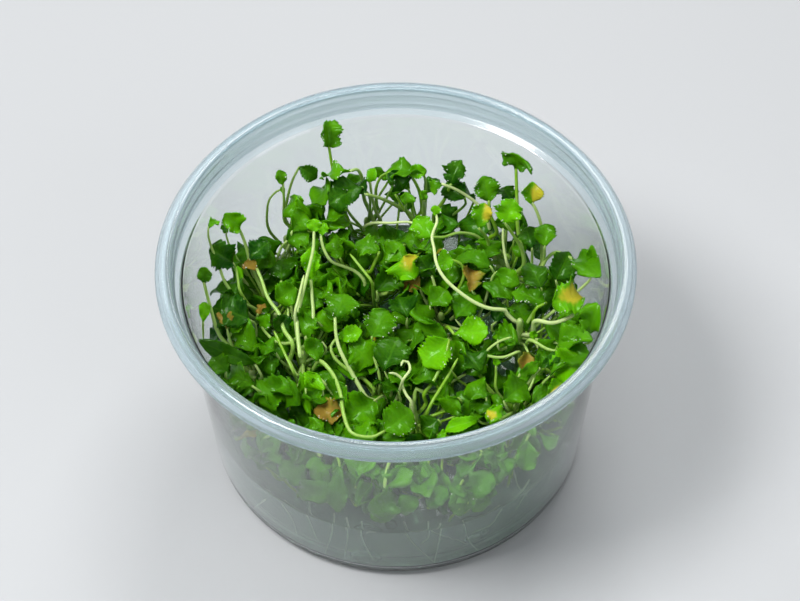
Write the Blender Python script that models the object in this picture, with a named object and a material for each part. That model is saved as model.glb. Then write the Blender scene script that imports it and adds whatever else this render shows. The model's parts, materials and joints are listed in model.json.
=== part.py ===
"""Lake cress grown from cuttings in a clear round cup, on a layer of clear gel.

Every plant is a short stem that stands in a pocket of the gel, with its leaves around it.
A leaf is one piece, its stalk and its blade together. The stalks and blades were read from
the photograph: a photograph point and a height above the table give one place in space.
All sizes are metres, +Z is up, and the origin is the middle of the cup's foot.
"""

import math
from typing import NamedTuple

import bmesh
import bpy
from mathutils import Matrix, Vector
from mathutils.bvhtree import BVHTree

MM = 0.001

# Cup sizes. The rim is the widest place, and the skirt under it hangs clear of the wall.
RIM_RADIUS = 50.0 * MM
CUP_HEIGHT = 60.0 * MM
WALL_FOOT_RADIUS = 41.6 * MM
WALL_TOP_RADIUS = 45.2 * MM
WALL_THICKNESS = 0.7 * MM
LEDGE_HEIGHT = 53.4 * MM
LEDGE_WIDTH = 1.3 * MM
SKIRT_HEIGHT = 3.0 * MM
SKIRT_WIDTH = 0.8 * MM
RIM_TOP_WIDTH = 1.6 * MM
RIM_UNDERSIDE_DROP = 1.1 * MM
FOOT_CHAMFER = 1.8 * MM
FOOT_RING_INNER_RADIUS = 34.0 * MM
FLOOR_RISE = 1.2 * MM
FLOOR_THICKNESS = 1.0 * MM
FLOOR_TOP = FLOOR_RISE + FLOOR_THICKNESS
WALL_START = 3.0 * MM
CUP_SIDES = 36

# Gel layer sizes.
GEL_TOP = 18.3 * MM
GEL_MENISCUS = 0.6 * MM
MENISCUS_WIDTH = 2.0 * MM
GAP = 0.3 * MM

# Stem sizes. A stem stands in a pocket of the gel and narrows towards its top.
STEM_FOOT_RADIUS = 1.35 * MM
STEM_TOP_RADIUS = 0.85 * MM
STEM_DEPTH = 3.0 * MM
STEM_COLLAR_RISE = 0.8 * MM
STEM_FOOT_MARGIN = 2.2 * MM
STEM_TOP_MARGIN = 2.0 * MM
STEM_SIDES = 8
POCKET_SIDES = 6
CUTTER_STAND_OUT = 2.0 * MM

# Leaf sizes. The ring of a stalk or blade has six points.
STALK_RADIUS = 0.5 * MM
STALK_STEP = 4.6 * MM
STALK_RUN_OUT = 1.5 * MM
BLADE_THICKNESS = 0.6 * MM
WALL_MARGIN = 0.9 * MM
HIGHEST_LEAF = 0.93
RING_SIDES = 6

# The view that the photograph was taken from.
VIEW_ELEVATION = math.radians(52.245)
VIEW_ROLL = math.radians(-0.863)
VIEW_TARGET = Vector((0.8 * MM, 10.8 * MM, 30.0 * MM))
VIEW_DISTANCE = 480.0 * MM
FOCAL_PIXELS = 2174.09
IMAGE_MIDDLE = (400.0, 300.5)

TO_VIEWER = Vector((0.0, -math.cos(VIEW_ELEVATION), math.sin(VIEW_ELEVATION)))
VIEWPOINT = VIEW_TARGET + VIEW_DISTANCE * TO_VIEWER
LEVEL_RIGHT = Vector((1.0, 0.0, 0.0))
LEVEL_UP = LEVEL_RIGHT.cross(-TO_VIEWER)
VIEW_RIGHT = LEVEL_RIGHT * math.cos(VIEW_ROLL) + LEVEL_UP * math.sin(VIEW_ROLL)
VIEW_UP = LEVEL_UP * math.cos(VIEW_ROLL) - LEVEL_RIGHT * math.sin(VIEW_ROLL)

# Half the blade's width at stations from its base to its tip, as shares of its whole width.
# The bumps are the leaf's coarse teeth.
BLADE_OUTLINE = (
    (0.0, 0.06),
    (0.10, 0.36),
    (0.30, 0.50),
    (0.44, 0.41),
    (0.62, 0.44),
    (0.76, 0.26),
    (0.88, 0.20),
)

# What is tried, in this order, until a leaf is clear of those made before it:
# how far its stalk leaves the stem to one side, and how far its blade moves up or down.
SIDE_STEPS = tuple(math.radians(angle) for angle in (0, 35, -35, 70, -70, 110, -110, 150, -150))
LIFT_STEPS = tuple(lift * MM for lift in (0, 1.2, -1.2, 2.4, -2.4, 3.6, -3.6, 5.0, -5.0))
CLEARANCE = 0.15 * MM


class Stem(NamedTuple):
    """foot and top are photograph points, and height is the top's height in millimetres."""

    foot: tuple
    top: tuple
    height: float


class Leaf(NamedTuple):
    """One leaf, read from the photograph.

    stalk holds the photograph points along the stalk from the stem to the blade. base and tip
    are the blade's ends, each a photograph point and a height in millimetres. width is in
    millimetres. roll and fold are degrees: roll turns the blade about its length, and fold
    closes its halves upwards. arch is the rise of its middle as a share of its length.
    """

    stem: str
    stalk: tuple
    base: tuple
    tip: tuple
    width: float
    roll: float = 0.0
    fold: float = 12.0
    arch: float = 0.10
    colour: str = "leaf green"


STEMS = {
    "stem_01": Stem((289, 257), (286, 236), 27.0),
    "stem_02": Stem((367, 238), (367, 218), 27.0),
    "stem_03": Stem((424, 240), (423, 222), 26.0),
    "stem_04": Stem((508, 280), (498, 252), 29.0),
    "stem_05": Stem((530, 298), (528, 272), 28.5),
    "stem_06": Stem((519, 362), (520, 319), 34.0),
    "stem_07": Stem((442, 340), (441, 313), 28.5),
    "stem_08": Stem((376, 312), (374, 283), 29.0),
    "stem_09": Stem((302, 382), (304, 346), 32.0),
    "stem_10": Stem((277, 330), (275, 313), 25.5),
    "stem_11": Stem((387, 414), (386, 400), 25.0),
    "stem_12": Stem((418, 436), (412, 402), 29.5),
    "stem_13": Stem((518, 420), (515, 404), 25.5),
    "stem_14": Stem((252, 386), (252, 370), 25.0),
}

LEAVES = {
    "leaf_01": Leaf(
        "stem_02",
        ((345, 212), (338, 192), (334, 176), (331, 160)),
        (329, 147, 50), (327, 121, 55), 5.4, 25, 38,
    ),
    "leaf_02": Leaf(
        "stem_02",
        ((369, 210), (364, 198), (363, 182), (358, 170)),
        (350, 171, 48.2), (320, 177, 46.2), 6.4, 30, 14,
    ),
    "leaf_03": Leaf(
        "stem_02", ((376, 212), (372, 197)), (370, 182, 43), (374, 169, 46), 2.6, 0, 25, 0.1, "young leaf"
    ),
    "leaf_04": Leaf(
        "stem_01",
        ((285, 218), (287, 200), (292, 181)),
        (299, 167, 45), (317, 178, 43), 3.6, 15, 20, 0.2, "dark leaf",
    ),
    "leaf_05": Leaf("stem_01", ((285, 222), (284, 200)), (283, 184, 44.4), (279, 170, 47.4), 2.4, 0, 20),
    "leaf_06": Leaf(
        "stem_02",
        ((377, 206), (376, 189), (381, 177)),
        (390, 172, 44), (403, 190, 41), 5.0, -20, 10, 0.25, "dark leaf",
    ),
    "leaf_07": Leaf(
        "stem_03",
        ((421, 212), (420, 194), (415, 182)),
        (409, 173, 44), (426, 170, 45), 3.0, 20, 15, 0.1, "young leaf",
    ),
    "leaf_08": Leaf(
        "stem_03",
        ((412, 216), (397, 206), (380, 198)),
        (365, 194, 43), (351, 184, 43), 5.6, 0, 20, 0.1, "dark leaf",
    ),
    "leaf_09": Leaf(
        "stem_03", ((434, 215), (444, 200)), (451, 184, 42), (460, 160, 46), 4.6, -10, 20, 0.1, "dark leaf"
    ),
    "leaf_10": Leaf(
        "stem_04",
        ((488, 222), (479, 206), (467, 196), (455, 189)),
        (442, 184, 44), (431, 190, 42), 3.0, 0, 15,
    ),
    "leaf_11": Leaf("stem_04", ((497, 232), (490, 214)), (489, 201, 41), (484, 176, 45), 5.2, 0, 18),
    "leaf_12": Leaf("stem_04", ((488, 241),), (479, 228, 40), (484, 203, 44), 4.4, 0, 18, 0.1, "yellow leaf"),
    "leaf_13": Leaf(
        "stem_04",
        ((486, 243), (474, 235), (458, 233), (444, 237)),
        (431, 237, 41), (414, 219, 42), 5.0, 0, 10, 0.1, "young leaf",
    ),
    "leaf_14": Leaf(
        "stem_05", ((524, 262), (518, 230), (517, 200)), (516, 169, 48), (519, 154, 50), 7.0, 0, 12
    ),
    "leaf_15": Leaf(
        "stem_05",
        ((542, 258), (542, 230), (537, 212)),
        (532, 203, 43), (533, 183, 47), 4.6, 0, 30, 0.1, "yellow leaf",
    ),
    "leaf_16": Leaf(
        "stem_05",
        ((524, 265), (522, 250), (514, 236)),
        (505, 223, 44.4), (513, 199, 48.4), 5.2, 0, 18, 0.1, "young leaf",
    ),
    "leaf_17": Leaf(
        "stem_05", ((541, 274), (545, 261), (557, 252)), (575, 260, 42), (600, 276, 46), 6.2, 0, 20, 0.15
    ),
    "leaf_18": Leaf("stem_06", ((534, 312),), (546, 303, 36), (512, 292, 37), 4.8, 10, 15),
    "leaf_19": Leaf("stem_06", ((530, 340), (547, 349)), (562, 352, 35), (585, 353, 40), 6.0, 10, 20, 0.25),
    "leaf_20": Leaf(
        "stem_06",
        ((535, 321), (552, 323), (568, 318), (580, 309)),
        (583, 298, 42), (553, 301, 43), 6.4, 0, 10, 0.15, "yellow leaf",
    ),
    "leaf_21": Leaf(
        "stem_06",
        ((505, 310), (488, 308), (469, 299), (447, 281), (437, 265), (434, 248), (432, 236), (437, 222)),
        (436, 215, 48), (436, 206, 50), 2.2, 0, 20, 0.1, "young leaf",
    ),
    "leaf_22": Leaf("stem_07", ((447, 327),), (454, 334, 34), (488, 330, 35), 6.4, 0, 8, 0.1, "young leaf"),
    "leaf_23": Leaf("stem_07", ((437, 295),), (432, 276, 36), (420, 256, 39), 5.0, 0, 14, 0.1, "dark leaf"),
    "leaf_24": Leaf(
        "stem_07",
        ((450, 301), (459, 288), (464, 275), (462, 265)),
        (453, 260, 41), (438, 263, 41), 4.4, 0, 12, 0.1, "young leaf",
    ),
    "leaf_25": Leaf(
        "stem_08",
        ((365, 283), (356, 272), (345, 267), (331, 261), (323, 247)),
        (321, 236, 40), (325, 223, 42), 2.4, 0, 25, 0.1, "young leaf",
    ),
    "leaf_26": Leaf("stem_08", ((383, 274),), (386, 262, 36), (403, 245, 38), 5.8, 0, 12),
    "leaf_27": Leaf("stem_08", ((371, 271),), (379, 252, 37), (356, 241, 38), 5.2, 0, 12),
    "leaf_28": Leaf(
        "stem_09", ((318, 378), (334, 396)), (343, 412, 29), (314, 410, 30), 5.2, 0, 10, 0.1, "withered leaf"
    ),
    "leaf_29": Leaf(
        "stem_09",
        ((293, 346), (284, 330), (279, 314), (268, 298), (262, 281)),
        (257, 269, 38), (244, 261, 38), 3.2, 0, 30, 0.1, "withered leaf",
    ),
    "leaf_30": Leaf(
        "stem_09",
        ((320, 361), (332, 373), (340, 392), (344, 416), (352, 433), (371, 437)),
        (385, 431, 31), (412, 411, 33), 7.0, 0, 10,
    ),
    "leaf_31": Leaf(
        "stem_09",
        ((302, 334), (290, 343), (277, 342), (267, 334)),
        (262, 327, 30), (267, 315, 33), 3.2, 0, 15, 0.1, "young leaf",
    ),
    "leaf_32": Leaf(
        "stem_09",
        ((306, 338), (313, 318), (312, 297)),
        (311, 280, 38), (311, 248, 43), 4.0, 0, 30, 0.1, "young leaf",
    ),
    "leaf_33": Leaf(
        "stem_09",
        ((297, 320), (301, 300), (308, 272), (313, 250)),
        (314, 232, 46), (314, 219, 48), 3.2, 0, 20, 0.1, "young leaf",
    ),
    "leaf_34": Leaf("stem_10", ((281, 298),), (281, 281, 33), (282, 259, 34), 7.4, 0, 10, 0.15, "dark leaf"),
    "leaf_35": Leaf(
        "stem_10",
        ((264, 294), (252, 268), (246, 246)),
        (240, 230, 43), (225, 214, 47), 4.2, 0, 25, 0.15, "young leaf",
    ),
    "leaf_36": Leaf("stem_11", ((380, 378), (373, 352)), (372, 337, 35), (388, 308, 37), 6.4, 0, 12),
    "leaf_37": Leaf(
        "stem_11",
        ((374, 389), (362, 378), (347, 369), (334, 357), (331, 346)),
        (337, 338, 34), (362, 331, 36), 3.6, 15, 15, 0.15, "young leaf",
    ),
    "leaf_38": Leaf(
        "stem_11",
        ((366, 397), (358, 384), (348, 366), (340, 350), (336, 335)),
        (335, 318, 39), (346, 293, 41), 7.4, 0, 10,
    ),
    "leaf_39": Leaf("stem_12", ((402, 436), (388, 466)), (384, 490, 26), (385, 522, 21), 5.6, 0, 10),
    "leaf_40": Leaf(
        "stem_12",
        ((424, 394), (433, 382), (440, 368), (446, 353)),
        (449, 340, 37), (424, 366, 34), 7.4, 0, 8, 0.1, "young leaf",
    ),
    "leaf_41": Leaf(
        "stem_12", ((426, 393), (440, 389), (453, 381)), (466, 374, 30), (485, 361, 32), 4.2, 0, 15
    ),
    "leaf_42": Leaf("stem_13", ((500, 436), (474, 462)), (460, 483, 27), (462, 513, 21), 5.0, 0, 12),
    "leaf_43": Leaf("stem_13", ((510, 414),), (500, 419, 33), (488, 409, 34), 4.2, 0, 12, 0.1, "yellow leaf"),
    "leaf_44": Leaf(
        "stem_14", ((240, 356), (220, 336), (210, 306)), (204, 283, 42.2), (204, 267, 45.2), 3.6, 0, 20
    ),
}

# Principled values: base colour, roughness and transmission.
MATERIALS = {
    "clear cup plastic": ((0.80, 0.86, 0.87, 1.0), 0.22, 0.9),
    "clear gel": ((0.78, 0.84, 0.76, 1.0), 0.08, 0.95),
    "stem": ((0.42, 0.52, 0.16, 1.0), 0.45, 0.0),
    "leaf green": ((0.05, 0.24, 0.01, 1.0), 0.42, 0.0),
    "young leaf": ((0.14, 0.38, 0.01, 1.0), 0.40, 0.0),
    "dark leaf": ((0.02, 0.13, 0.01, 1.0), 0.42, 0.0),
    "yellow leaf": ((0.36, 0.40, 0.02, 1.0), 0.45, 0.0),
    "withered leaf": ((0.35, 0.24, 0.06, 1.0), 0.60, 0.0),
}


def clear_scene():
    for obj in list(bpy.data.objects):
        bpy.data.objects.remove(obj, do_unlink=True)


def material_named(name):
    if name in bpy.data.materials:
        return bpy.data.materials[name]
    colour, roughness, transmission = MATERIALS[name]
    material = bpy.data.materials.new(name)
    material.use_nodes = True
    shader = material.node_tree.nodes["Principled BSDF"]
    shader.inputs["Base Color"].default_value = colour
    shader.inputs["Roughness"].default_value = roughness
    shader.inputs["Transmission Weight"].default_value = transmission
    material.diffuse_color = colour
    return material


def add_object(name, mesh, material):
    """One named, smooth-shaded object with its material."""
    mesh.materials.append(material_named(material))
    mesh.shade_smooth()
    mesh.set_sharp_from_angle(angle=math.radians(40))
    obj = bpy.data.objects.new(name, mesh)
    bpy.context.scene.collection.objects.link(obj)
    return obj


def mesh_from(name, build):
    """A mesh made by a function that fills a bmesh, with its faces turned outwards."""
    work = bmesh.new()
    build(work)
    bmesh.ops.recalc_face_normals(work, faces=work.faces)
    mesh = bpy.data.meshes.new(name)
    work.to_mesh(mesh)
    work.free()
    return mesh


def turned(work, profile, sides):
    """Turns a closed outline of (radius, height) points about Z. A point on the axis stays one point."""
    rings = []
    for radius, height in profile:
        if radius == 0:
            rings.append([work.verts.new((0, 0, height))] * sides)
            continue
        angles = (2 * math.pi * side / sides for side in range(sides))
        rings.append([work.verts.new((radius * math.cos(a), radius * math.sin(a), height)) for a in angles])
    for lower, upper in zip(rings, rings[1:]):
        for side in range(sides):
            after = (side + 1) % sides
            corners = dict.fromkeys((lower[side], lower[after], upper[after], upper[side]))
            work.faces.new(corners)


def cup_profile():
    """The cup's outline from its underside's middle, up its outside, over the rim and down its inside."""
    inner_foot = WALL_FOOT_RADIUS - WALL_THICKNESS
    inner_top = WALL_TOP_RADIUS - WALL_THICKNESS
    ring = FOOT_RING_INNER_RADIUS
    ledge_edge = WALL_TOP_RADIUS + LEDGE_WIDTH
    skirt = CUP_HEIGHT - SKIRT_HEIGHT
    under_rim = CUP_HEIGHT - RIM_UNDERSIDE_DROP
    return (
        (0, FLOOR_RISE),
        (ring - 1.0 * MM, FLOOR_RISE),
        (ring, 0),
        (WALL_FOOT_RADIUS - FOOT_CHAMFER, 0),
        (WALL_FOOT_RADIUS, FOOT_CHAMFER),
        (WALL_TOP_RADIUS, LEDGE_HEIGHT - 0.8 * MM),
        (ledge_edge, LEDGE_HEIGHT + 0.2 * MM),
        (RIM_RADIUS - 2.5 * MM, under_rim),
        (RIM_RADIUS - 1.8 * MM, under_rim),
        (RIM_RADIUS - SKIRT_WIDTH, skirt),
        (RIM_RADIUS, skirt),
        (RIM_RADIUS, skirt + 0.8 * MM),
        (RIM_RADIUS - RIM_TOP_WIDTH, CUP_HEIGHT),
        (RIM_RADIUS - 2 * RIM_TOP_WIDTH, CUP_HEIGHT),
        (ledge_edge - 0.3 * MM, LEDGE_HEIGHT + 0.8 * MM),
        (inner_top + 0.1 * MM, LEDGE_HEIGHT),
        (inner_foot - 0.1 * MM, WALL_START),
        (inner_foot - 1.5 * MM, FLOOR_THICKNESS),
        (ring + 0.6 * MM, FLOOR_THICKNESS),
        (ring - 0.6 * MM, FLOOR_TOP),
        (0, FLOOR_TOP),
    )


def inner_radius(height):
    """The cup's inner radius at a height, between its floor and its rim."""
    low, high = WALL_START, LEDGE_HEIGHT
    foot = WALL_FOOT_RADIUS - WALL_THICKNESS - 0.1 * MM
    top = WALL_TOP_RADIUS - WALL_THICKNESS + 0.1 * MM
    if height > high:
        return WALL_TOP_RADIUS + LEDGE_WIDTH - 0.9 * MM
    return foot + (top - foot) * (height - low) / (high - low)


def make_cup():
    mesh = mesh_from("cup", lambda work: turned(work, cup_profile(), CUP_SIDES))
    return add_object("cup", mesh, "clear cup plastic")


def gel_profile():
    """The gel fills the cup's floor with a gap all round, and its edge climbs a little at the wall."""
    ring = FOOT_RING_INNER_RADIUS
    edge_top = GEL_TOP + GEL_MENISCUS
    side_foot = WALL_START + 0.2 * MM
    return (
        (0, FLOOR_TOP + GAP),
        (ring - 0.8 * MM, FLOOR_TOP + GAP),
        (ring + 0.4 * MM, FLOOR_THICKNESS + GAP),
        (WALL_FOOT_RADIUS - 2.6 * MM, FLOOR_THICKNESS + GAP),
        (inner_radius(side_foot) - GAP, side_foot),
        (inner_radius(edge_top) - GAP, edge_top),
        (inner_radius(edge_top) - MENISCUS_WIDTH, GEL_TOP),
        (0, GEL_TOP),
    )


def make_gel(feet):
    """The gel, with a pocket for each stem's foot."""
    mesh = mesh_from("gel", lambda work: turned(work, gel_profile(), CUP_SIDES))
    gel = add_object("gel", mesh, "clear gel")
    depth = STEM_DEPTH + GAP
    for number, foot in enumerate(feet, start=1):
        cutter = pocket_cutter(f"pocket_{number:02d}", foot, depth)
        cut = gel.modifiers.new(cutter.name, "BOOLEAN")
        cut.operation = "DIFFERENCE"
        cut.solver = "EXACT"
        cut.object = cutter
    return gel


def pocket_cutter(name, foot, depth):
    """A straight prism that is wider than the stem by the gap all round, standing out of the gel's top."""
    flat_radius = STEM_FOOT_RADIUS + GAP
    radius = flat_radius / math.cos(math.pi / POCKET_SIDES)
    length = depth + CUTTER_STAND_OUT

    def build(work):
        bmesh.ops.create_cone(
            work, cap_ends=True, segments=POCKET_SIDES, radius1=radius, radius2=radius, depth=length
        )

    mesh = mesh_from(name, build)
    cutter = bpy.data.objects.new(name, mesh)
    cutter.location = (foot.x, foot.y, GEL_TOP + (CUTTER_STAND_OUT - depth) / 2)
    cutter.hide_render = True
    cutter.display_type = "WIRE"
    bpy.context.scene.collection.objects.link(cutter)
    return cutter


def sight(point, height):
    """Where the line of sight through a photograph point meets a level plane."""
    across = (point[0] - IMAGE_MIDDLE[0]) / FOCAL_PIXELS
    down = (point[1] - IMAGE_MIDDLE[1]) / FOCAL_PIXELS
    ray = VIEW_RIGHT * across - VIEW_UP * down - TO_VIEWER
    return VIEWPOINT + ray * ((height - VIEWPOINT.z) / ray.z)


def inside_cup(point, height, margin=WALL_MARGIN):
    """A place on the line of sight near a height that is inside the cup's wall."""
    for step in range(60):
        for way in (1, -1):
            tried = height + way * step * 0.5 * MM
            place = sight(point, tried)
            if tried > GEL_TOP and place.xy.length < inner_radius(tried) - margin:
                return place
    raise ValueError(f"no place inside the cup on the sight line through {point}")


def smooth_path(points, step):
    """Points about a step apart on a smooth curve through the given points."""
    ends = [2 * points[0] - points[1], *points, 2 * points[-1] - points[-2]]
    path = [points[0]]
    for before, start, end, after in zip(ends, ends[1:], ends[2:], ends[3:]):
        count = max(1, round((end - start).length / step))
        for index in range(1, count + 1):
            t = index / count
            pull_start = (end - before) / 2
            pull_end = (after - start) / 2
            path.append(
                start * (2 * t**3 - 3 * t**2 + 1)
                + pull_start * (t**3 - 2 * t**2 + t)
                + end * (3 * t**2 - 2 * t**3)
                + pull_end * (t**3 - t**2)
            )
    return path


def stem_places(stem):
    """The stem's middle line from its foot in the gel to its top."""
    foot = inside_cup(stem.foot, GEL_TOP, margin=STEM_FOOT_MARGIN)
    top = inside_cup(stem.top, stem.height * MM, margin=STEM_TOP_MARGIN)
    low = Vector((foot.x, foot.y, GEL_TOP - STEM_DEPTH))
    collar = Vector((foot.x, foot.y, GEL_TOP + STEM_COLLAR_RISE))
    return low, collar, (collar * 2 + top) / 3, (collar + top * 2) / 3, top


def make_stem(name, stem):
    places = stem_places(stem)
    rings = []
    for index, place in enumerate(places):
        share = max(0, index - 1) / (len(places) - 2)
        radius = STEM_FOOT_RADIUS + (STEM_TOP_RADIUS - STEM_FOOT_RADIUS) * share
        angles = (2 * math.pi * side / STEM_SIDES for side in range(STEM_SIDES))
        rings.append([place + radius * Vector((math.cos(a), math.sin(a), 0)) for a in angles])
    mesh = mesh_from(name, lambda work: loft(work, rings))
    return add_object(name, mesh, "stem")


def loft(work, rings, tip=None):
    """A closed skin over rings of points, ending in a flat cap or in one tip point."""
    made = [[work.verts.new(point) for point in ring] for ring in rings]
    sides = len(made[0])
    for lower, upper in zip(made, made[1:]):
        for side in range(sides):
            after = (side + 1) % sides
            work.faces.new((lower[side], lower[after], upper[after], upper[side]))
    work.faces.new(reversed(made[0]))
    if tip is None:
        work.faces.new(made[-1])
        return
    point = work.verts.new(tip)
    for side in range(sides):
        work.faces.new((made[-1][side], made[-1][(side + 1) % sides], point))


def stalk_foot(stem, share, towards, side_angle):
    """The stalk's first two points: at the stem's side, a share of the way up, then a little out and up."""
    _, collar, *_, top = stem_places(stem)
    middle = collar.lerp(top, share)
    away = Vector((towards.x - middle.x, towards.y - middle.y, 0))
    away = Matrix.Rotation(side_angle, 3, "Z") @ away.normalized()
    stem_radius = STEM_FOOT_RADIUS + (STEM_TOP_RADIUS - STEM_FOOT_RADIUS) * share
    start = middle + away * (stem_radius + GAP + STALK_RADIUS * 0.8)
    return start, start + (away + Vector((0, 0, 1))) * STALK_RUN_OUT


def leaf_share(name):
    """How far up its stem a leaf grows. The leaves of a stem are spaced evenly, in the order of the list."""
    on_stem = [other for other in LEAVES if LEAVES[other].stem == LEAVES[name].stem]
    return HIGHEST_LEAF * (on_stem.index(name) + 1) / len(on_stem)


def leaf_line(name, side_angle, lift):
    """The leaf's middle line: the stalk's points, the blade's points and the blade's side direction."""
    leaf = LEAVES[name]
    base_height = leaf.base[2] * MM + lift
    tip_height = leaf.tip[2] * MM + lift
    base = inside_cup(leaf.base[:2], base_height)
    tip = inside_cup(leaf.tip[:2], tip_height)
    stem = STEMS[leaf.stem]
    start_height = stem_places(stem)[-1].z
    run = [Vector((*point, 0)) for point in (stem.top, *leaf.stalk, leaf.base[:2])]
    lengths = [(b - a).length for a, b in zip(run, run[1:])]
    waypoints = []
    travelled = 0.0
    for point, length in zip(leaf.stalk, lengths):
        travelled += length
        height = start_height + (base.z - start_height) * travelled / sum(lengths)
        waypoints.append(inside_cup(point, height))
    start, out = stalk_foot(stem, leaf_share(name), waypoints[0], side_angle)
    stalk = smooth_path([start, out, *waypoints, base], STALK_STEP)
    along = (tip - base).normalized()
    facing = (Vector((0, 0, 1)) + TO_VIEWER).normalized()
    side = along.cross(facing).normalized()
    side = Matrix.Rotation(math.radians(leaf.roll), 3, along) @ side
    rise = side.cross(along) * (leaf.arch * (tip - base).length)
    shares = [share for share, _ in BLADE_OUTLINE[1:]] + [1.0]
    blade = [base.lerp(tip, t) + rise * (4 * t * (1 - t)) for t in shares]
    return stalk, blade, side


def leaf_rings(name, side_angle, lift, spare=0.0):
    """The rings of the leaf's skin and its tip. spare makes the leaf fatter all over."""
    leaf = LEAVES[name]
    stalk, blade, side = leaf_line(name, side_angle, lift)
    line = stalk + blade
    tangents = [(b - a).normalized() for a, b in zip(line, line[1:])]
    tangents.append(tangents[-1])
    sides = [None] * len(line)
    base_index = len(stalk) - 1
    sides[base_index] = level_with(side, tangents[base_index])
    for index in range(base_index - 1, -1, -1):
        sides[index] = level_with(sides[index + 1], tangents[index])
    for index in range(base_index + 1, len(line)):
        sides[index] = level_with(sides[index - 1], tangents[index])
    rings = []
    for index in range(len(line) - 1):
        station = index - base_index
        if station < 0:
            corners = stalk_section(STALK_RADIUS + spare)
        else:
            half_width = BLADE_OUTLINE[station][1] * leaf.width * MM + spare
            corners = blade_section(half_width, BLADE_THICKNESS / 2 + spare, math.radians(leaf.fold))
        up = sides[index].cross(tangents[index])
        rings.append([line[index] + sides[index] * x + up * z for x, z in corners])
    return rings, line[-1] + tangents[-1] * spare


def level_with(side, tangent):
    """The side direction made square to the line again."""
    return (side - tangent * side.dot(tangent)).normalized()


def stalk_section(radius):
    angles = (2 * math.pi * corner / RING_SIDES for corner in range(RING_SIDES))
    return [(radius * math.cos(a), radius * math.sin(a)) for a in angles]


def blade_section(half_width, half_thickness, fold):
    """Sharp at both margins and thick in the middle third, folded upwards on both sides."""
    third = half_width / 3
    thick = min(half_thickness, half_width)
    rise = math.tan(fold)
    return (
        (half_width, half_width * rise),
        (third, third * rise + thick),
        (-third, third * rise + thick),
        (-half_width, half_width * rise),
        (-third, third * rise - thick),
        (third, third * rise - thick),
    )


def search_tree(rings, tip):
    work = bmesh.new()
    loft(work, rings, tip)
    tree = BVHTree.FromBMesh(work)
    work.free()
    return tree


def object_tree(obj):
    mesh = obj.data
    return BVHTree.FromPolygons([v.co for v in mesh.vertices], [face.vertices[:] for face in mesh.polygons])


def clear_place(name, placed):
    """The first tried side angle and lift at which the leaf is clear of everything already placed."""
    for lift in LIFT_STEPS:
        for side_angle in SIDE_STEPS:
            spare_tree = search_tree(*leaf_rings(name, side_angle, lift, spare=CLEARANCE))
            if not any(spare_tree.overlap(other) for other in placed.values()):
                return side_angle, lift
    raise ValueError(f"{name} has no clear place")


def make_leaf(name, placed):
    rings, tip = leaf_rings(name, *clear_place(name, placed))
    mesh = mesh_from(name, lambda work: loft(work, rings, tip))
    placed[name] = search_tree(rings, tip)
    return add_object(name, mesh, LEAVES[name].colour)


def main():
    clear_scene()
    cup = make_cup()
    gel = make_gel([stem_places(stem)[0] for stem in STEMS.values()])
    placed = {"cup": object_tree(cup), "gel": object_tree(gel)}
    for name, stem in STEMS.items():
        placed[name] = object_tree(make_stem(name, stem))
    for name in LEAVES:
        make_leaf(name, placed)


if __name__ == "__main__":
    main()
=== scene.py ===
"""Lake cress in a clear cup of gel: fine leaves, stems, roots, gel and cup around the plain solids.

Places are in metres in the solids' own frame: +Z up, and the origin is the middle of the cup's foot.
A leaf's place is given by points of the picture and heights above the table, as seen from the viewpoint.
"""

import json
import math
import random
from functools import partial
from typing import NamedTuple

import bmesh
import bpy
import numpy as np
from bpy.props import FloatProperty, FloatVectorProperty, IntProperty, PointerProperty
from mathutils import Matrix, Vector

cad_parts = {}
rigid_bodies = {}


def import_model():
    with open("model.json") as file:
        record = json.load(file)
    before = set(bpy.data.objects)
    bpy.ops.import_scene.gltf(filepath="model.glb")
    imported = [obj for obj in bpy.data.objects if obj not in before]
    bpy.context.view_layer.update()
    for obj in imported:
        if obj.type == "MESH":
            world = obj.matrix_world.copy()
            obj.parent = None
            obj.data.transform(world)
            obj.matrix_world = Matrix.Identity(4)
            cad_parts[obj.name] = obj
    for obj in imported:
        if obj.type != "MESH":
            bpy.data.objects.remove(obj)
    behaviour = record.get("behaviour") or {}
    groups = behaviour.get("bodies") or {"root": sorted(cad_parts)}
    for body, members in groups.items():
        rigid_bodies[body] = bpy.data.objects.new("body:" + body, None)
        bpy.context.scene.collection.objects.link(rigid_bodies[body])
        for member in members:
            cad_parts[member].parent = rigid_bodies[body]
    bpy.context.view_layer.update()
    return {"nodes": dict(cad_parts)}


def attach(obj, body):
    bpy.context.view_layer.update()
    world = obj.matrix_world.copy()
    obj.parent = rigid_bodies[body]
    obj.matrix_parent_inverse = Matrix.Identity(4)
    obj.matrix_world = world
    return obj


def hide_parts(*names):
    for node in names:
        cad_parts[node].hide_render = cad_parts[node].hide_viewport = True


bl_info = {
    "name": "Lake Cress Cup",
    "version": (1, 0, 0),
    "blender": (4, 5, 0),
    "location": "3D View > Sidebar > Lake Cress",
    "description": "Builds lake cress with its stems, roots, gel and clear cup",
    "category": "Add Mesh",
}

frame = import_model()
MM = 0.001
GEL_SURFACE = 18.3 * MM
# The height where the wall starts to rise straight, and the foot ring's radius in millimetres.
WALL_FOOT = 3.0 * MM
FOOT_RING = 34.0
# How finely and how far the search for a place inside the cup goes up and down.
SEARCH_STEP = 0.5 * MM
SEARCH_STEPS = 60
ROOT_AND_BUBBLE_SEED = 3
LOW_LEAF_SEED = 7
BLADE_SHAPE_SEED = 100
DROPLET_SEED = 5

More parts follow.
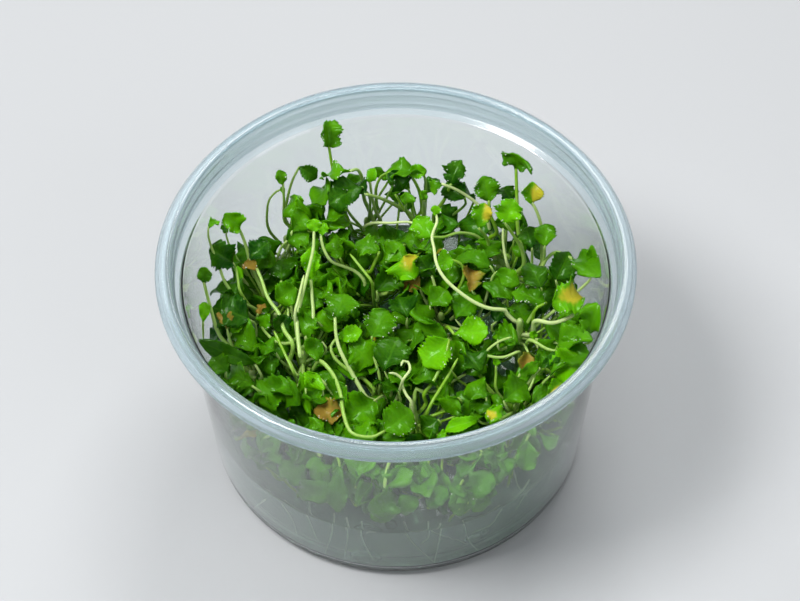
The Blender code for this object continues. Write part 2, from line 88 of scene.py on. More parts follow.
# The viewpoint.
VIEW_ELEVATION = math.radians(52.245)
VIEW_ROLL = math.radians(-0.863)
VIEW_TARGET = Vector((0.8, 10.8, 30.0)) * MM
VIEW_DISTANCE = 480.0 * MM
FOCAL_PIXELS = 2174.09
IMAGE_WIDTH = 800.0
IMAGE_MIDDLE = (400.0, 300.5)
TO_VIEWER = Vector((0.0, -math.cos(VIEW_ELEVATION), math.sin(VIEW_ELEVATION)))
VIEWPOINT = VIEW_TARGET + VIEW_DISTANCE * TO_VIEWER
LEVEL_RIGHT = Vector((1.0, 0.0, 0.0))
LEVEL_UP = LEVEL_RIGHT.cross(-TO_VIEWER)
VIEW_RIGHT = LEVEL_RIGHT * math.cos(VIEW_ROLL) + LEVEL_UP * math.sin(VIEW_ROLL)
VIEW_UP = LEVEL_UP * math.cos(VIEW_ROLL) - LEVEL_RIGHT * math.sin(VIEW_ROLL)


class Look(NamedTuple):
    """tone runs from dark to bright, and its low end paints shade on leaves that lie in shadow; fade runs
    from green to brown. deep and bright scale the two greens.
    """

    slot: str
    tone: float
    fade: float
    deep: float
    bright: float


class Stem(NamedTuple):
    """foot and top are picture points, and height is the top's height in millimetres."""

    foot: tuple
    top: tuple
    height: float


GREEN, YOUNG, SHADED, YELLOW, WITHERED = "leaf green", "young leaf", "dark leaf", "yellow leaf", "withered leaf"
LOOKS = {
    GREEN: Look("leaf_green", 0.55, 0.12, 1.0, 1.0),
    YOUNG: Look("young_leaf", 0.85, 0.05, 2.2, 1.25),
    # The shaded look is painted shade: leaves that lie in shadow get a low tone and darker greens.
    SHADED: Look("dark_leaf", 0.22, 0.05, 0.7, 0.75),
    YELLOW: Look("yellow_leaf", 0.75, 0.78, 1.6, 1.2),
    WITHERED: Look("withered_leaf", 0.55, 1.0, 1.5, 1.0),
}


class Leaf(NamedTuple):
    """stalk holds picture points. base and tip are a picture point and a height in millimetres.

    width is in millimetres, roll and fold are degrees, and arch is a share of the length.
    """

    stem: str
    stalk: tuple
    base: tuple
    tip: tuple
    width: float
    roll: float = 0.0
    fold: float = 12.0
    arch: float = 0.10
    look: str = GREEN


STEM_ROWS = (
    ((289, 257), (286, 236), 27.0),
    ((367, 238), (367, 218), 27.0),
    ((424, 240), (423, 222), 26.0),
    ((508, 280), (498, 252), 29.0),
    ((530, 298), (528, 272), 28.5),
    ((519, 362), (520, 319), 34.0),
    ((442, 340), (441, 313), 28.5),
    ((376, 312), (374, 283), 29.0),
    ((302, 382), (304, 346), 32.0),
    ((277, 330), (275, 313), 25.5),
    ((387, 414), (386, 400), 25.0),
    ((418, 436), (412, 402), 29.5),
    ((518, 420), (515, 404), 25.5),
    ((252, 386), (252, 370), 25.0),
)
STEMS = {f"stem_{number:02d}": Stem(*row) for number, row in enumerate(STEM_ROWS, 1)}

# Each row starts with the number of the leaf's stem.
LEAF_ROWS = (
    (2, ((345, 212), (338, 192), (334, 176), (331, 160)), (329, 147, 50), (327, 121, 55), 5.4, 25, 38),
    (2, ((369, 210), (364, 198), (363, 182), (358, 170)), (350, 171, 48.2), (320, 177, 46.2), 6.4, 30, 14),
    (2, ((376, 212), (372, 197)), (370, 182, 43), (374, 169, 46), 2.6, 0, 25, 0.1, YOUNG),
    (1, ((285, 218), (287, 200), (292, 181)), (299, 167, 45), (317, 178, 43), 3.6, 15, 20, 0.2, SHADED),
    (1, ((285, 222), (284, 200)), (283, 184, 44.4), (279, 170, 47.4), 2.4, 0, 20),
    (2, ((377, 206), (376, 189), (381, 177)), (390, 172, 44), (403, 190, 41), 5.0, -20, 10, 0.25, SHADED),
    (3, ((421, 212), (420, 194), (415, 182)), (409, 173, 44), (426, 170, 45), 3.0, 20, 15, 0.1, YOUNG),
    (3, ((412, 216), (397, 206), (380, 198)), (365, 194, 43), (351, 184, 43), 5.6, 0, 20, 0.1, SHADED),
    (3, ((434, 215), (444, 200)), (451, 184, 42), (460, 160, 46), 4.6, -10, 20, 0.1, SHADED),
    (4, ((488, 222), (479, 206), (467, 196), (455, 189)), (442, 184, 44), (431, 190, 42), 3.0, 0, 15),
    (4, ((497, 232), (490, 214)), (489, 201, 41), (484, 176, 45), 5.2, 0, 18),
    (4, ((488, 241),), (479, 228, 40), (484, 203, 44), 4.4, 0, 18, 0.1, YELLOW),
    (
        4, ((486, 243), (474, 235), (458, 233), (444, 237)), (431, 237, 41), (414, 219, 42), 5.0, 0, 10, 0.1,
        YOUNG,
    ),
    (5, ((524, 262), (518, 230), (517, 200)), (516, 169, 48), (519, 154, 50), 7.0, 0, 12),
    (5, ((542, 258), (542, 230), (537, 212)), (532, 203, 43), (533, 183, 47), 4.6, 0, 30, 0.1, YELLOW),
    (5, ((524, 265), (522, 250), (514, 236)), (505, 223, 44.4), (513, 199, 48.4), 5.2, 0, 18, 0.1, YOUNG),
    (5, ((541, 274), (545, 261), (557, 252)), (575, 260, 42), (600, 276, 46), 6.2, 0, 20, 0.15),
    (6, ((534, 312),), (546, 303, 36), (512, 292, 37), 4.8, 10, 15),
    (6, ((530, 340), (547, 349)), (562, 352, 35), (585, 353, 40), 6.0, 10, 20, 0.25),
    (
        6, ((535, 321), (552, 323), (568, 318), (580, 309)), (583, 298, 42), (553, 301, 43), 6.4, 0, 10,
        0.15, YELLOW,
    ),
    (
        6, ((505, 310), (488, 308), (469, 299), (447, 281), (437, 265), (434, 248), (432, 236), (437, 222)),
        (436, 215, 48), (436, 206, 50), 2.2, 0, 20, 0.1, YOUNG,
    ),
    (7, ((447, 327),), (454, 334, 34), (488, 330, 35), 6.4, 0, 8, 0.1, YOUNG),
    (7, ((437, 295),), (432, 276, 36), (420, 256, 39), 5.0, 0, 14, 0.1, SHADED),
    (
        7, ((450, 301), (459, 288), (464, 275), (462, 265)), (453, 260, 41), (438, 263, 41), 4.4, 0, 12, 0.1,
        YOUNG,
    ),
    (
        8, ((365, 283), (356, 272), (345, 267), (331, 261), (323, 247)), (321, 236, 40), (325, 223, 42), 2.4,
        0, 25, 0.1, YOUNG,
    ),
    (8, ((383, 274),), (386, 262, 36), (403, 245, 38), 5.8, 0, 12),
    (8, ((371, 271),), (379, 252, 37), (356, 241, 38), 5.2, 0, 12),
    (9, ((318, 378), (334, 396)), (343, 412, 29), (314, 410, 30), 5.2, 0, 10, 0.1, WITHERED),
    (
        9, ((293, 346), (284, 330), (279, 314), (268, 298), (262, 281)), (257, 269, 38), (244, 261, 38), 3.2,
        0, 30, 0.1, WITHERED,
    ),
    (
        9, ((320, 361), (332, 373), (340, 392), (344, 416), (352, 433), (371, 437)), (385, 431, 31),
        (412, 411, 33), 7.0, 0, 10,
    ),
    (
        9, ((302, 334), (290, 343), (277, 342), (267, 334)), (262, 327, 30), (267, 315, 33), 3.2, 0, 15, 0.1,
        YOUNG,
    ),
    (9, ((306, 338), (313, 318), (312, 297)), (311, 280, 38), (311, 248, 43), 4.0, 0, 30, 0.1, YOUNG),
    (
        9, ((297, 320), (301, 300), (308, 272), (313, 250)), (314, 232, 46), (314, 219, 48), 3.2, 0, 20, 0.1,
        YOUNG,
    ),
    (10, ((281, 298),), (281, 281, 33), (282, 259, 34), 7.4, 0, 10, 0.15, SHADED),
    (10, ((264, 294), (252, 268), (246, 246)), (240, 230, 43), (225, 214, 47), 4.2, 0, 25, 0.15, YOUNG),
    (11, ((380, 378), (373, 352)), (372, 337, 35), (388, 308, 37), 6.4, 0, 12),
    (
        11, ((374, 389), (362, 378), (347, 369), (334, 357), (331, 346)), (337, 338, 34), (362, 331, 36),
        3.6, 15, 15, 0.15, YOUNG,
    ),
    (
        11, ((366, 397), (358, 384), (348, 366), (340, 350), (336, 335)), (335, 318, 39), (346, 293, 41),
        7.4, 0, 10,
    ),
    (12, ((402, 436), (388, 466)), (384, 490, 26), (385, 522, 21), 5.6, 0, 10),
    (
        12, ((424, 394), (433, 382), (440, 368), (446, 353)), (449, 340, 37), (424, 366, 34), 7.4, 0, 8, 0.1,
        YOUNG,
    ),
    (12, ((426, 393), (440, 389), (453, 381)), (466, 374, 30), (485, 361, 32), 4.2, 0, 15),
    (13, ((500, 436), (474, 462)), (460, 483, 27), (462, 513, 21), 5.0, 0, 12),
    (13, ((510, 414),), (500, 419, 33), (488, 409, 34), 4.2, 0, 12, 0.1, YELLOW),
    (14, ((240, 356), (220, 336), (210, 306)), (204, 283, 42.2), (204, 267, 45.2), 3.6, 0, 20),
)
LEAVES = {
    f"leaf_{number:02d}": Leaf(f"stem_{stem:02d}", *row) for number, (stem, *row) in enumerate(LEAF_ROWS, 1)
}
PALE_STALKS = ("leaf_10", "leaf_20", "leaf_21", "leaf_25", "leaf_32", "leaf_33", "leaf_38")
# Where a blade has turned most: the share across, from -1 to 1, and the share along.
SPOTS = {"leaf_12": (0.6, 0.7), "leaf_15": (0.5, 0.45), "leaf_20": (0.2, 0.35)}

# Leaves that the solids leave out. Each row: look, width, base, tip and the stalk's points.
SMALL_LEAVES = (
    (GREEN, 5.5, (343, 200, 37), (318, 190, 38), (350, 214)),
    (YOUNG, 1.4, (280, 190, 42), (285, 189, 42), (269, 230), (267, 210), (270, 198), (277, 191)),
    (YOUNG, 1.8, (297, 206, 40), (301, 197, 42), (293, 213)),
    (
        YOUNG, 2.6, (208, 227, 40), (216, 219, 42), (260, 312), (240, 300), (226, 284), (219, 266),
        (212, 249), (208, 236),
    ),
    (YOUNG, 2.0, (226, 232, 40), (223, 221, 41), (229, 245)),
    (GREEN, 2.6, (424, 200, 40), (421, 191, 42), (424, 208)),
    (GREEN, 3.0, (406, 204, 40), (408, 193, 42), (407, 212)),
    (SHADED, 4.6, (465, 198, 39), (446, 182, 40), (462, 208)),
    (SHADED, 4.6, (512, 204, 40), (503, 187, 42), (508, 214)),
    (SHADED, 4.6, (532, 248, 38), (526, 226, 40), (532, 262)),
    (GREEN, 4.4, (545, 246, 40), (546, 224, 42), (543, 262)),
    (GREEN, 3.0, (592, 265, 44), (593, 246, 46), (590, 280)),
    (SHADED, 5.6, (556, 280, 38), (569, 252, 41), (556, 292)),
    (GREEN, 4.0, (497, 272, 37), (518, 283, 38), (479, 320), (484, 305), (489, 287), (493, 276)),
    (GREEN, 5.6, (490, 266, 37), (456, 256, 38), (500, 278)),
    (YELLOW, 6.6, (414, 279, 37), (404, 256, 39), (418, 284)),
    (WITHERED, 4.0, (420, 288, 34), (405, 281, 35), (425, 300)),
    (SHADED, 6.0, (377, 291, 35), (396, 266, 36), (378, 300)),
    (GREEN, 5.0, (287, 241, 38), (309, 233, 39), (277, 262), (281, 248)),
    (GREEN, 5.0, (292, 231, 40), (305, 212, 41), (288, 250)),
    (YOUNG, 2.6, (203, 322, 37), (204, 302, 39), (207, 345), (203, 332)),
    (WITHERED, 3.0, (227, 329, 35), (222, 309, 36), (232, 345)),
    (WITHERED, 2.6, (258, 314, 33), (264, 303, 34), (257, 322)),
    (SHADED, 5.6, (243, 298, 35), (212, 288, 37), (250, 315)),
    (YOUNG, 2.0, (240, 282, 36), (238, 266, 38), (241, 298)),
    (GREEN, 4.4, (295, 324, 34), (311, 309, 35), (296, 335)),
    (SHADED, 3.8, (255, 364, 32), (199, 341, 35), (262, 378)),
    (YOUNG, 2.0, (231, 333, 33), (241, 322, 34), (230, 345)),
    (YOUNG, 2.0, (281, 348, 30), (274, 338, 31), (297, 375), (288, 358)),
    (GREEN, 8.0, (374, 401, 30), (348, 420, 29), (384, 396)),
    (SHADED, 7.5, (385, 372, 32), (398, 338, 34), (392, 388)),
    (GREEN, 6.4, (448, 338, 32), (413, 327, 33), (452, 350)),
    (GREEN, 6.6, (456, 320, 33), (478, 294, 35), (463, 330)),
    (YOUNG, 7.0, (552, 372, 34), (584, 360, 38), (540, 372)),
    (GREEN, 6.4, (588, 334, 39), (599, 306, 43), (583, 345)),
    (YELLOW, 3.6, (548, 394, 32), (563, 381, 34), (545, 400)),
    (GREEN, 3.2, (536, 372, 33), (540, 352, 35), (514, 410), (520, 400), (530, 388)),
    (YOUNG, 1.6, (512, 402, 30), (511, 394, 31), (512, 408)),
    (GREEN, 2.6, (472, 420, 29), (484, 408, 30), (440, 434), (450, 427), (462, 422)),
    (YOUNG, 2.6, (437, 435, 28), (446, 438, 28), (425, 425), (432, 433)),
    (YOUNG, 1.8, (496, 366, 32), (496, 356, 33), (497, 392), (496, 375)),
    (YELLOW, 1.6, (541, 355, 30), (546, 366, 30), (530, 336), (537, 345)),
    (YOUNG, 1.8, (537, 333, 33), (530, 336, 33), (560, 312), (553, 321), (545, 328)),
    (GREEN, 4.2, (340, 466, 28), (338, 510, 22), (340, 440)),
    (GREEN, 3.0, (408, 468, 27), (415, 490, 24), (400, 450)),
    (SHADED, 4.6, (388, 478, 26), (394, 512, 21), (392, 455)),
    (GREEN, 4.0, (478, 484, 26), (480, 510, 21), (470, 450)),
    (GREEN, 4.6, (442, 470, 26), (438, 504, 22), (440, 450)),
    (GREEN, 4.6, (264, 438, 30), (268, 470, 23), (270, 430)),
    (SHADED, 4.2, (320, 456, 28), (316, 481, 24), (318, 440)),
    (GREEN, 4.2, (526, 440, 29), (522, 468, 24), (530, 430)),
    (GREEN, 7.6, (288, 384, 31), (258, 400, 30), (296, 392)),
    (GREEN, 7.0, (322, 388, 31), (297, 392, 31), (322, 400)),
    (YOUNG, 4.6, (306, 388, 33), (318, 374, 35), (304, 398)),
    (GREEN, 5.4, (252, 386, 32), (230, 366, 33), (262, 392)),
    (GREEN, 5.6, (276, 353, 33), (255, 342, 34), (282, 362)),
    (GREEN, 6.6, (350, 344, 33), (373, 362, 32), (356, 350)),
    (SHADED, 7.4, (250, 320, 35), (213, 306, 37), (256, 330)),
    (SHADED, 5.6, (461, 350, 34), (480, 372, 33), (466, 362)),
    (GREEN, 6.0, (437, 386, 32), (411, 375, 32), (438, 395)),
    (GREEN, 6.4, (504, 401, 32), (527, 382, 33), (508, 410)),
    (YOUNG, 3.2, (478, 420, 29), (444, 432, 28), (488, 424)),
    (GREEN, 6.0, (558, 346, 38), (592, 338, 41), (552, 356)),
    (WITHERED, 3.6, (528, 352, 33), (524, 371, 32), (524, 345)),
    (SHADED, 7.2, (362, 187, 44), (329, 203, 43), (370, 200)),
    (SHADED, 6.0, (233, 263, 40), (210, 248, 42), (240, 275)),
    (SHADED, 5.2, (250, 259, 39), (269, 242, 41), (252, 272)),
    (WITHERED, 4.6, (472, 291, 36), (468, 268, 37), (474, 300)),
    (GREEN, 4.8, (424, 174, 44), (386, 176, 43), (426, 190)),
    (GREEN, 4.8, (340, 258, 37), (333, 238, 39), (346, 268)),
    (GREEN, 5.2, (296, 288, 37), (276, 300, 36), (300, 300)),
    (GREEN, 5.8, (318, 322, 35), (300, 330, 34), (322, 332)),
    (SHADED, 5.8, (407, 318, 35), (398, 296, 36), (410, 330)),
    (GREEN, 5.4, (430, 306, 35), (448, 290, 36), (432, 318)),
    (SHADED, 5.4, (541, 288, 38), (528, 262, 40), (540, 300)),
    (GREEN, 5.4, (498, 340, 34), (516, 330, 35), (500, 350)),
    (SHADED, 5.4, (398, 392, 31), (374, 380, 32), (400, 402)),
    (GREEN, 5.6, (458, 398, 31), (446, 412, 29), (460, 405)),
    (GREEN, 5.0, (538, 415, 30), (520, 424, 29), (540, 425)),
    (GREEN, 4.6, (226, 372, 34), (212, 356, 36), (228, 380)),
    (GREEN, 4.6, (334, 434, 27), (316, 428, 27), (330, 428)),
    (SHADED, 5.0, (438, 420, 29), (422, 432, 27), (440, 425)),
    (GREEN, 6.0, (486, 398, 32), (468, 384, 33), (490, 410)),
    (SHADED, 5.0, (492, 408, 31), (470, 402, 31), (498, 418)),
    (GREEN, 2.4, (520, 374, 34), (540, 362, 36), (512, 398), (516, 384)),
    (SHADED, 2.4, (540, 368, 35), (562, 352, 38), (524, 392), (532, 378)),
    (GREEN, 2.2, (550, 376, 35), (574, 358, 38), (530, 398), (542, 384)),
    (GREEN, 4.6, (452, 372, 32), (438, 376, 32), (466, 392), (458, 380)),
    (GREEN, 5.2, (322, 342, 34), (306, 352, 33), (326, 352)),
    (GREEN, 5.4, (346, 386, 31), (330, 398, 30), (350, 400)),
    (SHADED, 5.0, (288, 316, 35), (276, 330, 34), (290, 300)),
    (GREEN, 5.0, (482, 452, 27), (500, 470, 24), (480, 440)),
    (GREEN, 5.2, (346, 470, 26), (352, 498, 22), (350, 455)),
    (GREEN, 5.6, (372, 476, 26), (398, 500, 23), (375, 460)),
    (GREEN, 4.0, (424, 470, 26), (408, 476, 25), (430, 455)),
    (SHADED, 6.6, (386, 250, 30), (399, 229, 31), (384, 262)),
    (GREEN, 6.0, (372, 248, 30), (376, 226, 31), (372, 258)),
    (SHADED, 6.2, (477, 258, 31), (462, 241, 32), (480, 268)),
    (GREEN, 5.4, (486, 258, 32), (487, 239, 33), (486, 268)),
    (GREEN, 5.6, (562, 286, 33), (549, 272, 34), (566, 292)),
    (SHADED, 5.4, (496, 322, 31), (505, 305, 31), (492, 330)),
)

# Bare stalks whose blades have gone: picture points from the foot to the end, the two heights, and the shade.
BARE_STALKS = (
    (((364, 227), (373, 223), (390, 223), (408, 222), (420, 226)), (34, 39), 0.85),
    (((412, 403), (407, 396), (402, 385), (403, 380), (396, 374), (389, 373)), (30, 35), 1.0),
    (((403, 380), (410, 370), (408, 362), (403, 361), (401, 366)), (35, 37), 1.0),
    (((508, 266), (505, 255), (503, 241), (503, 228)), (34, 41), 0.9),
    (((519, 352), (505, 357), (493, 357), (485, 354), (490, 348), (500, 341), (512, 337)), (33, 36), 0.4),
    (((430, 406), (448, 376), (458, 358)), (31.5, 36), 0.1),
    (((372, 283), (366, 274), (350, 254)), (38, 41.5), 0.15),
    (((295, 315), (298, 301), (304, 275)), (37, 40.5), 0.85),
    (((241, 293), (238, 280), (236, 267)), (36, 38.5), 0.2),
    (((294, 373), (284, 352), (274, 331)), (32.5, 36.5), 0.15),
)

# Roots that show at the front, close to the wall: picture points from the top down.
FRONT_ROOTS = (
    ((310, 500), (312, 516), (319, 534)),
    ((335, 512), (334, 527), (326, 551)),
    ((347, 516), (349, 530), (346, 552)),
    ((362, 520), (364, 536), (374, 555)),
    ((270, 495), (258, 505), (256, 512)),
    ((404, 520), (410, 535), (424, 549), (434, 562)),
    ((428, 520), (427, 533), (420, 539)),
    ((440, 522), (437, 540), (434, 560)),
    ((462, 520), (466, 535), (475, 545), (481, 553)),
    ((512, 465), (517, 485), (523, 492)),
    ((528, 478), (520, 492), (512, 506)),
    ((498, 505), (488, 520), (470, 528)),
    ((286, 500), (296, 516), (300, 530)),
)
FRONT_ROOT_RADIUS = 0.20 * MM

# Air bubbles that show at the front: a picture point, the radius in millimetres and 1 for a flat one.
FRONT_BUBBLES = (
    ((366, 556), 3.3, 1),
    ((470, 531), 2.0, 1),
    ((482, 526), 1.1, 0),
    ((262, 507), 1.0, 0),
    ((282, 527), 0.8, 0),
    ((391, 523), 1.2, 1),
    ((446, 545), 0.5, 0),
    ((330, 540), 0.4, 0),
    ((508, 515), 0.6, 0),
)
FLATNESS = 0.38
BUBBLES_ALL_ROUND = 30


def length_setting(name, description, default):
    """A length in metres that the sidebar lists."""
    return FloatProperty(name=name, description=description, default=default, unit="LENGTH")


def colour_setting(name, description, *default):
    """A colour that the sidebar lists."""
    return FloatVectorProperty(name=name, description=description, default=default, subtype="COLOR")


class CupSizes(bpy.types.PropertyGroup):
    """Sizes of the cup and the gel in it."""

    rim_radius: length_setting("Rim radius", "Outer radius of the rolled rim", 50.0 * MM)
    height: length_setting("Height", "Height of the rim's top", 60.0 * MM)
    foot_radius: length_setting("Foot radius", "Outer radius at the foot", 41.6 * MM)
    top_radius: length_setting("Top radius", "Outer radius of the wall under the ledge", 45.2 * MM)
    wall: length_setting("Wall", "Thickness of the wall", 0.7 * MM)
    ledge: length_setting("Ledge height", "Height of the ledge inside the rim", 53.4 * MM)
    gel_top: length_setting("Gel height", "Height of the gel's surface", GEL_SURFACE)
    sides: IntProperty(name="Sides", description="Sides of the turned shapes", default=160, min=32, max=360)


class PlantSizes(bpy.types.PropertyGroup):
    """Sizes of the leaves, the stems and the droplets on them."""

    stalk_radius: length_setting("Stalk radius", "Radius of a leaf's stalk", 0.40 * MM)
    blade_thickness: length_setting("Blade thickness", "Thickness of a blade", 0.28 * MM)
    stem_radius: length_setting("Stem radius", "Radius of a stem at its foot", 1.05 * MM)
    fillers: IntProperty(
        name="Low leaves", description="Small leaves low among the others", default=520, min=0, max=900
    )
    spread: FloatProperty(
        name="Blade spread", description="How much wider a blade is than its solid",
        default=1.15, min=0.5, max=1.5,
    )
    droplets: FloatProperty(
        name="Droplets", description="Droplets for each square metre of leaf margin", default=850000.0, min=0
    )
    droplet_radius: length_setting("Droplet radius", "Radius of the largest droplets", 0.18 * MM)


class PlantColours(bpy.types.PropertyGroup):
    """Colours of the leaves and stalks."""

    deep: colour_setting("Deep green", "Shaded leaf colour", 0.002, 0.062, 0.001)
    bright: colour_setting("Bright green", "Young leaf colour", 0.115, 0.375, 0.001)
    rib: colour_setting("Rib", "Colour of ribs and veins", 0.13, 0.38, 0.01)
    yellow: colour_setting("Yellow", "Leaf colour where it fades", 0.54, 0.47, 0.03)
    brown: colour_setting("Brown", "Leaf colour where it has withered", 0.26, 0.165, 0.025)
    stalk: colour_setting("Stalk", "Green stalk colour", 0.24, 0.50, 0.015)
    pale_stalk: colour_setting("Pale stalk", "Whitish stalk colour", 0.68, 0.84, 0.36)


class Skin:
    """Points, faces and their values, gathered for one mesh."""

    def __init__(self):
        self.points = []
        self.faces = []
        self.uvs = []
        self.slots = []
        self.tones = []
        self.fades = []
        self.count = 0

    def add(self, points, faces, slot=0, tone=0.5, fade=0.0, uvs=None):
        """uvs holds one pair for each point. tone and fade are one number or one for each point."""
        points = np.asarray(points, float)
        number = len(points)
        self.points.append(points)
        self.faces += [tuple(corner + self.count for corner in face) for face in faces]
        self.slots += [slot] * len(faces)
        self.uvs.append(np.zeros((number, 2)) if uvs is None else np.asarray(uvs, float))
        self.tones.append(np.broadcast_to(np.asarray(tone, float), number))
        self.fades.append(np.broadcast_to(np.asarray(fade, float), number))
        self.count += number

    def mesh(self, name, materials):
        """The mesh of all that was added, with its map, tone and fade."""
        mesh = bpy.data.meshes.new(name)
        mesh.from_pydata(np.concatenate(self.points).tolist(), [], self.faces)
        for material in materials:
            mesh.materials.append(material)
        mesh.polygons.foreach_set("material_index", self.slots)
        corners = np.empty(len(mesh.loops), np.int32)
        mesh.loops.foreach_get("vertex_index", corners)
        mesh.uv_layers.new(name="UVMap").data.foreach_set("uv", np.concatenate(self.uvs)[corners].ravel())
        for label, values in (("tone", self.tones), ("fade", self.fades)):
            layer = mesh.attributes.new(label, "FLOAT", "POINT")
            layer.data.foreach_set("value", np.concatenate(values))
        mesh.shade_smooth()
        return mesh


def points_of(mesh):
    """A mesh's points as rows of an array."""
    points = np.empty(len(mesh.vertices) * 3)
    mesh.vertices.foreach_get("co", points)
    return points.reshape(-1, 3)


def link(obj):
    """Puts an object in the scene and returns it."""
    bpy.context.scene.collection.objects.link(obj)
    return obj


def add_object(name, mesh, slot, *nodes):
    """One object, which rides with the cup when it has a slot and stands for the named solids, which are
    hidden.
    """
    obj = link(bpy.data.objects.new(name, mesh))
    if slot:
        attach(obj, "root")
    if nodes:
        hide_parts(*nodes)
    return obj


def add_node(tree, kind, inputs=None, **settings):
    """A node with its settings made and its inputs set or linked."""
    made = tree.nodes.new(kind)
    for key, value in settings.items():
        setattr(made, key, value)
    for key, value in (inputs or {}).items():
        if isinstance(value, bpy.types.NodeSocket):
            tree.links.new(value, made.inputs[key])
        else:
            made.inputs[key].default_value = value
    return made


def value_of(tree, kind, inputs=None, **settings):
    """The first output of a new node."""
    return add_node(tree, kind, inputs, **settings).outputs[0]


def maths(tree, operation, first, second=0.0, third=0.0, clamp=False):
    """The result of one operation on up to three values."""
    return value_of(
        tree, "ShaderNodeMath", {0: first, 1: second, 2: third}, operation=operation, use_clamp=clamp
    )


def ramp(tree, value, low, high):
    """0 at low and 1 at high, eased between them."""
    reach = {"Value": value, "From Min": low, "From Max": high}
    return add_node(tree, "ShaderNodeMapRange", reach, interpolation_type="SMOOTHSTEP").outputs["Result"]


def blend(tree, share, first, second):
    """A mix of two colours."""
    return add_node(tree, "ShaderNodeMix", {0: share, 6: first, 7: second}, data_type="RGBA").outputs[2]


def solid_colour(colour):
    """A colour with its alpha."""
    return (*colour, 1.0)


def new_tree(kind, name, inputs, outputs):
    """A node group with the named sockets. Returns it, what it is given and the inputs of its end."""
    tree = bpy.data.node_groups.new(name, f"{kind}NodeTree")
    for way, sockets in (("INPUT", inputs), ("OUTPUT", outputs)):
        for label, socket in sockets.items():
            tree.interface.new_socket(label, in_out=way, socket_type=f"NodeSocket{socket}")
    return tree, tree.nodes.new("NodeGroupInput").outputs, tree.nodes.new("NodeGroupOutput").inputs


# Geometry trees.

MESH = {"Geometry": "Geometry"}


def close_tree(tree, geometry, material, end):
    """Ends a tree: instances made real, smooth shading and one material."""
    real = value_of(tree, "GeometryNodeRealizeInstances", {"Geometry": geometry})
    smooth = value_of(tree, "GeometryNodeSetShadeSmooth", {"Geometry": real})
    finished = value_of(tree, "GeometryNodeSetMaterial", {"Geometry": smooth, "Material": material})
    tree.links.new(finished, end[0])
    return tree


def tube_tree():
    """Round tubes along the edges of a mesh, as wide as its radius attribute says."""
    sockets = {**MESH, "Sides": "Int", "Material": "Material"}
    tree, given, end = new_tree("Geometry", "tubes along lines", sockets, MESH)
    radius = value_of(tree, "GeometryNodeInputNamedAttribute", {"Name": "radius"})
    line = value_of(tree, "GeometryNodeMeshToCurve", {"Mesh": given["Geometry"]})
    ring = value_of(tree, "GeometryNodeCurvePrimitiveCircle", {"Resolution": given["Sides"], "Radius": 1.0})
    parts = {"Curve": line, "Profile Curve": ring, "Scale": radius, "Fill Caps": True}
    tube = value_of(tree, "GeometryNodeCurveToMesh", parts)
    return close_tree(tree, tube, given["Material"], end)


def scatter_tree():
    """Copies of a collection's pieces on points, turned and sized by the points' attributes."""
    sockets = {**MESH, "Pieces": "Collection", "Material": "Material"}
    tree, given, end = new_tree("Geometry", "pieces on points", sockets, MESH)
    choice = {"Collection": given["Pieces"], "Separate Children": True, "Reset Children": True}
    pieces = value_of(tree, "GeometryNodeCollectionInfo", choice)
    turn, size, pick = (
        value_of(tree, "GeometryNodeInputNamedAttribute", {"Name": name}, data_type=kind)
        for name, kind in (("turn", "FLOAT_VECTOR"), ("size", "FLOAT"), ("pick", "INT"))
    )
    copies = {
        "Points": value_of(tree, "GeometryNodeMeshToPoints", {"Mesh": given["Geometry"]}),
        "Instance": pieces,
        "Pick Instance": True,
        "Instance Index": pick,
        "Rotation": value_of(tree, "FunctionNodeEulerToRotation", {"Euler": turn}),
        "Scale": size,
    }
    placed = value_of(tree, "GeometryNodeInstanceOnPoints", copies)
    return close_tree(tree, placed, given["Material"], end)


def droplet_tree():
    """Small beads on a surface, of random sizes."""
    sockets = {**MESH, "Density": "Float", "Radius": "Float", "Seed": "Int", "Material": "Material"}
    tree, given, end = new_tree("Geometry", "droplets on leaves", sockets, MESH)
    where = {"Mesh": given["Geometry"], "Density": given["Density"], "Seed": given["Seed"]}
    spots = add_node(tree, "GeometryNodeDistributePointsOnFaces", where).outputs
    bead = value_of(tree, "GeometryNodeMeshUVSphere", {"Radius": given["Radius"], "Segments": 8, "Rings": 5})
    # The random value's inputs 2, 3 and 8 are its least, its greatest and its seed.
    range_and_seed = {2: 0.35, 3: 1.0, 8: given["Seed"]}
    size = add_node(tree, "FunctionNodeRandomValue", range_and_seed, data_type="FLOAT").outputs[1]
    copies = {"Points": spots["Points"], "Instance": bead, "Rotation": spots["Rotation"], "Scale": size}
    placed = value_of(tree, "GeometryNodeInstanceOnPoints", copies)
    return close_tree(tree, placed, given["Material"], end)


def plain_mesh(name, mesh, tree, **values):
    """The mesh that a geometry tree makes of another mesh."""
    carrier = link(bpy.data.objects.new(name, mesh))
    modifier = carrier.modifiers.new(tree.name, "NODES")
    modifier.node_group = tree
    for item in tree.interface.items_tree:
        if item.in_out == "INPUT" and item.name in values:
            modifier[item.identifier] = values[item.name]
    graph = bpy.context.evaluated_depsgraph_get()
    made = bpy.data.meshes.new_from_object(carrier.evaluated_get(graph))
    made.name = name
    bpy.data.objects.remove(carrier, do_unlink=True)
    return made


# Places.


def sight(point, height):
    """Where the line of sight through a picture point meets a level plane."""
    across = (point[0] - IMAGE_MIDDLE[0]) / FOCAL_PIXELS
    down = (point[1] - IMAGE_MIDDLE[1]) / FOCAL_PIXELS
    ray = VIEW_RIGHT * across - VIEW_UP * down - TO_VIEWER
    return VIEWPOINT + ray * ((height - VIEWPOINT.z) / ray.z)


def picture(place):
    """The picture point where a place shows."""
    ray = place - VIEWPOINT
    scale = -FOCAL_PIXELS / ray.dot(TO_VIEWER)
    return IMAGE_MIDDLE[0] + ray.dot(VIEW_RIGHT) * scale, IMAGE_MIDDLE[1] - ray.dot(VIEW_UP) * scale


